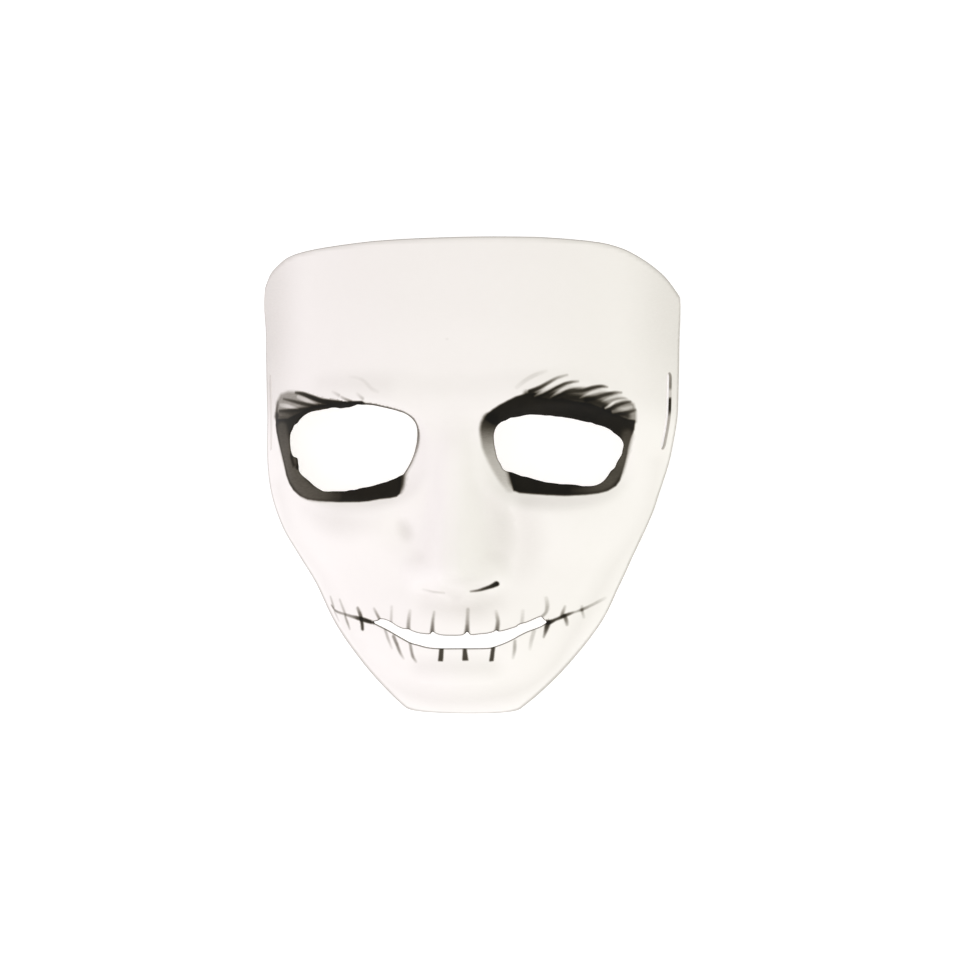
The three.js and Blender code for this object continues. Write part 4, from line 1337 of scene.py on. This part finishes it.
def grained_plastic(tree, place, skin):
    """The height and the tone of the sheet's grain, and its colour with dust and painted shade on the cut
    edges.
    """
    grained = node(tree, "ShaderNodeGroup", {"Place": place, "Skin": skin}, node_tree=grain).outputs
    plastic = blended(tree, grained["Tone"], PLASTIC_SHADE, PLASTIC_LIGHT)
    edge_dust_and_shade = sum_of(tree, "MULTIPLY", attribute_of(tree, "edge"), EDGE_DARKENING_SHARE)
    return grained["Height"], grained["Tone"], blended(tree, edge_dust_and_shade, plastic, EDGE_DUST_AND_SHADE)


print("plastic, light and shade:", PLASTIC_LIGHT[:3], PLASTIC_SHADE[:3])

# %% [markdown]
# The face is satin. Its ink is matt black that turns brown where it is thin, and it shows bristle streaks
# where it runs out. The ink attribute holds the darkness as the eye sees it, painted shade included, so a
# power turns it into the share of light that the paint takes away.

# %% The painted face
INK = (0.0035, 0.003, 0.0022, 1.0)
THIN_INK = (0.16, 0.126, 0.072, 1.0)
EYE_GAMMA = 2.2
FACE_SKIN = 0.25
FACE_GLOSS = 0.09
FACE_ROUGHNESS = 0.38
FACE_DRIFT = 0.10
FACE_BUMP = {"Strength": 0.6, "Distance": 0.00005}
BRISTLE_LIE = {"Rotation": (0.0, 0.0, 0.35), "Scale": (1.0, 4.0, 1.0)}
BRISTLE_NOISE = {"Scale": 420.0, "Detail": 4.0, "Roughness": 0.65}
BRISTLE_STREAK = 0.6
FULL_INK = 0.95
INK_DRIFT = 0.12
INK_ROUGHNESS = 0.14
INK_HEIGHT = 0.25


def finish_face():
    tree, shader, place = plain_start(face_finish)
    height, tone, plastic = grained_plastic(tree, place, FACE_SKIN)
    stretched = node(tree, "ShaderNodeMapping", {"Vector": place} | BRISTLE_LIE).outputs[0]
    bristles = node(tree, "ShaderNodeTexNoise", {"Vector": stretched} | BRISTLE_NOISE).outputs[0]
    ink = attribute_of(tree, "ink")
    partly = sum_of(tree, "MULTIPLY", ink, sum_of(tree, "SUBTRACT", 1.0, ink))
    streak = sum_of(tree, "MULTIPLY", sum_of(tree, "SUBTRACT", bristles, 0.5), partly)
    laid = sum_of(tree, "MULTIPLY_ADD", streak, BRISTLE_STREAK, ink, clamp=True)
    bare = sum_of(tree, "POWER", sum_of(tree, "SUBTRACT", 1.0, laid), EYE_GAMMA)
    cover = sum_of(tree, "SUBTRACT", 1.0, bare)
    thinness = sum_of(tree, "SUBTRACT", FULL_INK, laid)
    thinness = sum_of(tree, "MULTIPLY_ADD", tone, INK_DRIFT, thinness, clamp=True)
    ink_tone = blended(tree, thinness, INK, THIN_INK)
    tree.links.new(blended(tree, cover, plastic, ink_tone), shader.inputs["Base Color"])
    roughness = sum_of(tree, "MULTIPLY_ADD", tone, FACE_DRIFT, FACE_ROUGHNESS)
    roughness = sum_of(tree, "MULTIPLY_ADD", cover, INK_ROUGHNESS, roughness)
    tree.links.new(roughness, shader.inputs["Roughness"])
    painted_height = sum_of(tree, "MULTIPLY_ADD", cover, INK_HEIGHT, height)
    bump = node(tree, "ShaderNodeBump", {"Height": painted_height} | FACE_BUMP)
    tree.links.new(bump.outputs[0], shader.inputs["Normal"])
    shader.inputs["Specular IOR Level"].default_value = FACE_GLOSS


finish_face()
print("nodes of the painted face:", len(face_finish.node_tree.nodes))

# %% [markdown]
# The back is the side of the sheet that lay against the mould, so its skin is coarser and duller. It has no
# paint, only painted shade along the rim and painted shadow in the slots. Then the sheet is tied to the
# frame, and stands for the packed shell.

# %% The bare back
BACK_SKIN = 0.8
BACK_ROUGHNESS = 0.5
BACK_DRIFT = 0.12
BACK_BUMP = {"Strength": 0.8, "Distance": 0.00006}


def finish_back():
    tree, shader, place = plain_start(back_finish)
    height, tone, plastic = grained_plastic(tree, place, BACK_SKIN)
    tree.links.new(blended(tree, attribute_of(tree, "ink"), plastic, INK), shader.inputs["Base Color"])
    roughness = sum_of(tree, "MULTIPLY_ADD", tone, BACK_DRIFT, BACK_ROUGHNESS)
    tree.links.new(roughness, shader.inputs["Roughness"])
    bump = node(tree, "ShaderNodeBump", {"Height": height} | BACK_BUMP)
    tree.links.new(bump.outputs[0], shader.inputs["Normal"])


finish_back()
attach(mask_sheet, "root")
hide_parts("mask_shell")
print("finished:", mask_sheet.name, [material.name for material in mask_sheet.data.materials])

# %% [markdown]
# The floor is a pale studio board under the mask. It glows slightly, as an overexposed backdrop does,
# so the eye holes and the background read as white without washing out the mask's own shading.

# %% Floor
FLOOR_HALF = 2.5
FLOOR_DROP = 0.0003
FLOOR_FINISH = {
    "Base Color": (0.9, 0.9, 0.9, 1.0), "Roughness": 0.9, "Specular IOR Level": 0.1,
    "Emission Color": (1.0, 1.0, 1.0, 1.0), "Emission Strength": 0.30,
}
floor_mesh = bpy.data.meshes.new("studio_floor")
corner_signs = ((-1, -1), (1, -1), (1, 1), (-1, 1))
floor_corners = [(x * FLOOR_HALF, y * FLOOR_HALF, -FLOOR_DROP) for x, y in corner_signs]
floor_mesh.from_pydata(floor_corners, [], [(0, 1, 2, 3)])
floor = bpy.data.objects.new("studio_floor", floor_mesh)
bpy.context.scene.collection.objects.link(floor)
floor_finish = bpy.data.materials.new("pale_floor")
floor_finish.use_nodes = True
for name, value in FLOOR_FINISH.items():
    floor_finish.node_tree.nodes["Principled BSDF"].inputs[name].default_value = value
floor_mesh.materials.append(floor_finish)
print("floor, m:", FLOOR_HALF * 2)

# %% [markdown]
# The light is almost even, as in the photograph: a bright white room, slightly pink on one side and yellow
# on the other. A weak lamp straight above brightens the nose, and two cooler ones towards the chin, left
# and right, the cheeks.

# %% Light
LEFT_TINT = (1.02, 0.965, 1.04, 1.0)
RIGHT_TINT = (0.98, 1.02, 0.92, 1.0)
WHITE_LAMP = (1.0, 1.0, 1.0)
COOL_LAMP = (0.98, 0.99, 1.09)
ROOM_LIGHT = 0.865
LAMP_SIZE = 1.0
LAMP_AIM = Vector((0.0, 0.0, 0.04))
LAMPS = [  # name, place in metres, power in watts, colour
    ("key_lamp", (0.0, 0.0, 2.0), 3.9, WHITE_LAMP),
    ("fill_lamp", (-0.65, -1.0, 1.1), 3.6, COOL_LAMP),
    ("side_lamp", (1.0, -0.9, 1.0), 2.1, COOL_LAMP),
]
scene = bpy.context.scene
scene.view_settings.view_transform = "Standard"
scene.view_settings.look = "None"
world = bpy.data.worlds.new("soft_room")
world.use_nodes = True
sky = world.node_tree.nodes["Background"]
sky.inputs["Strength"].default_value = ROOM_LIGHT
toward = node(world.node_tree, "ShaderNodeTexCoord").outputs["Generated"]
sideways = node(world.node_tree, "ShaderNodeSeparateXYZ", {0: toward}).outputs["X"]
sideways = sum_of(world.node_tree, "MULTIPLY_ADD", sideways, 0.5, 0.5, clamp=True)
tint = blended(world.node_tree, sideways, LEFT_TINT, RIGHT_TINT)
world.node_tree.links.new(tint, sky.inputs["Color"])
scene.world = world


def add_lamp(name, place, power, colour):
    lamp = bpy.data.lights.new(name, "AREA")
    lamp.shape = "DISK"
    lamp.size = LAMP_SIZE
    lamp.energy = power
    lamp.color = colour
    holder = bpy.data.objects.new(name, lamp)
    holder.location = place
    holder.rotation_euler = (LAMP_AIM - Vector(place)).to_track_quat("-Z", "Y").to_euler()
    scene.collection.objects.link(holder)


for row in LAMPS:
    add_lamp(*row)
print("lamps:", len(LAMPS))

# %% [markdown]
# The photograph looks almost straight down on the face, from slightly to its right and from about 0.9 m
# away. The place, the turn and the lens were fitted to the outline, the eye corners, the nose and the
# mouth.

# %% Camera
CAMERA_TARGET = Vector((7.0, -1.92 - middle_y, 30.0)) * MM
CAMERA_DISTANCE = 0.91
CAMERA_YAW = math.radians(5.76)
CAMERA_LENS = 82.43
CAMERA_SENSOR = 36.0
camera_data = bpy.data.cameras.new("photo_camera")
camera_data.lens = CAMERA_LENS
camera_data.sensor_width = CAMERA_SENSOR
camera = bpy.data.objects.new("photo_camera", camera_data)
camera.location = CAMERA_TARGET + CAMERA_DISTANCE * Vector((math.sin(CAMERA_YAW), 0.0, math.cos(CAMERA_YAW)))
camera.rotation_euler = (0.0, CAMERA_YAW, 0.0)
scene.collection.objects.link(camera)
scene.camera = camera
print("camera, m:", [round(value, 3) for value in camera.location])
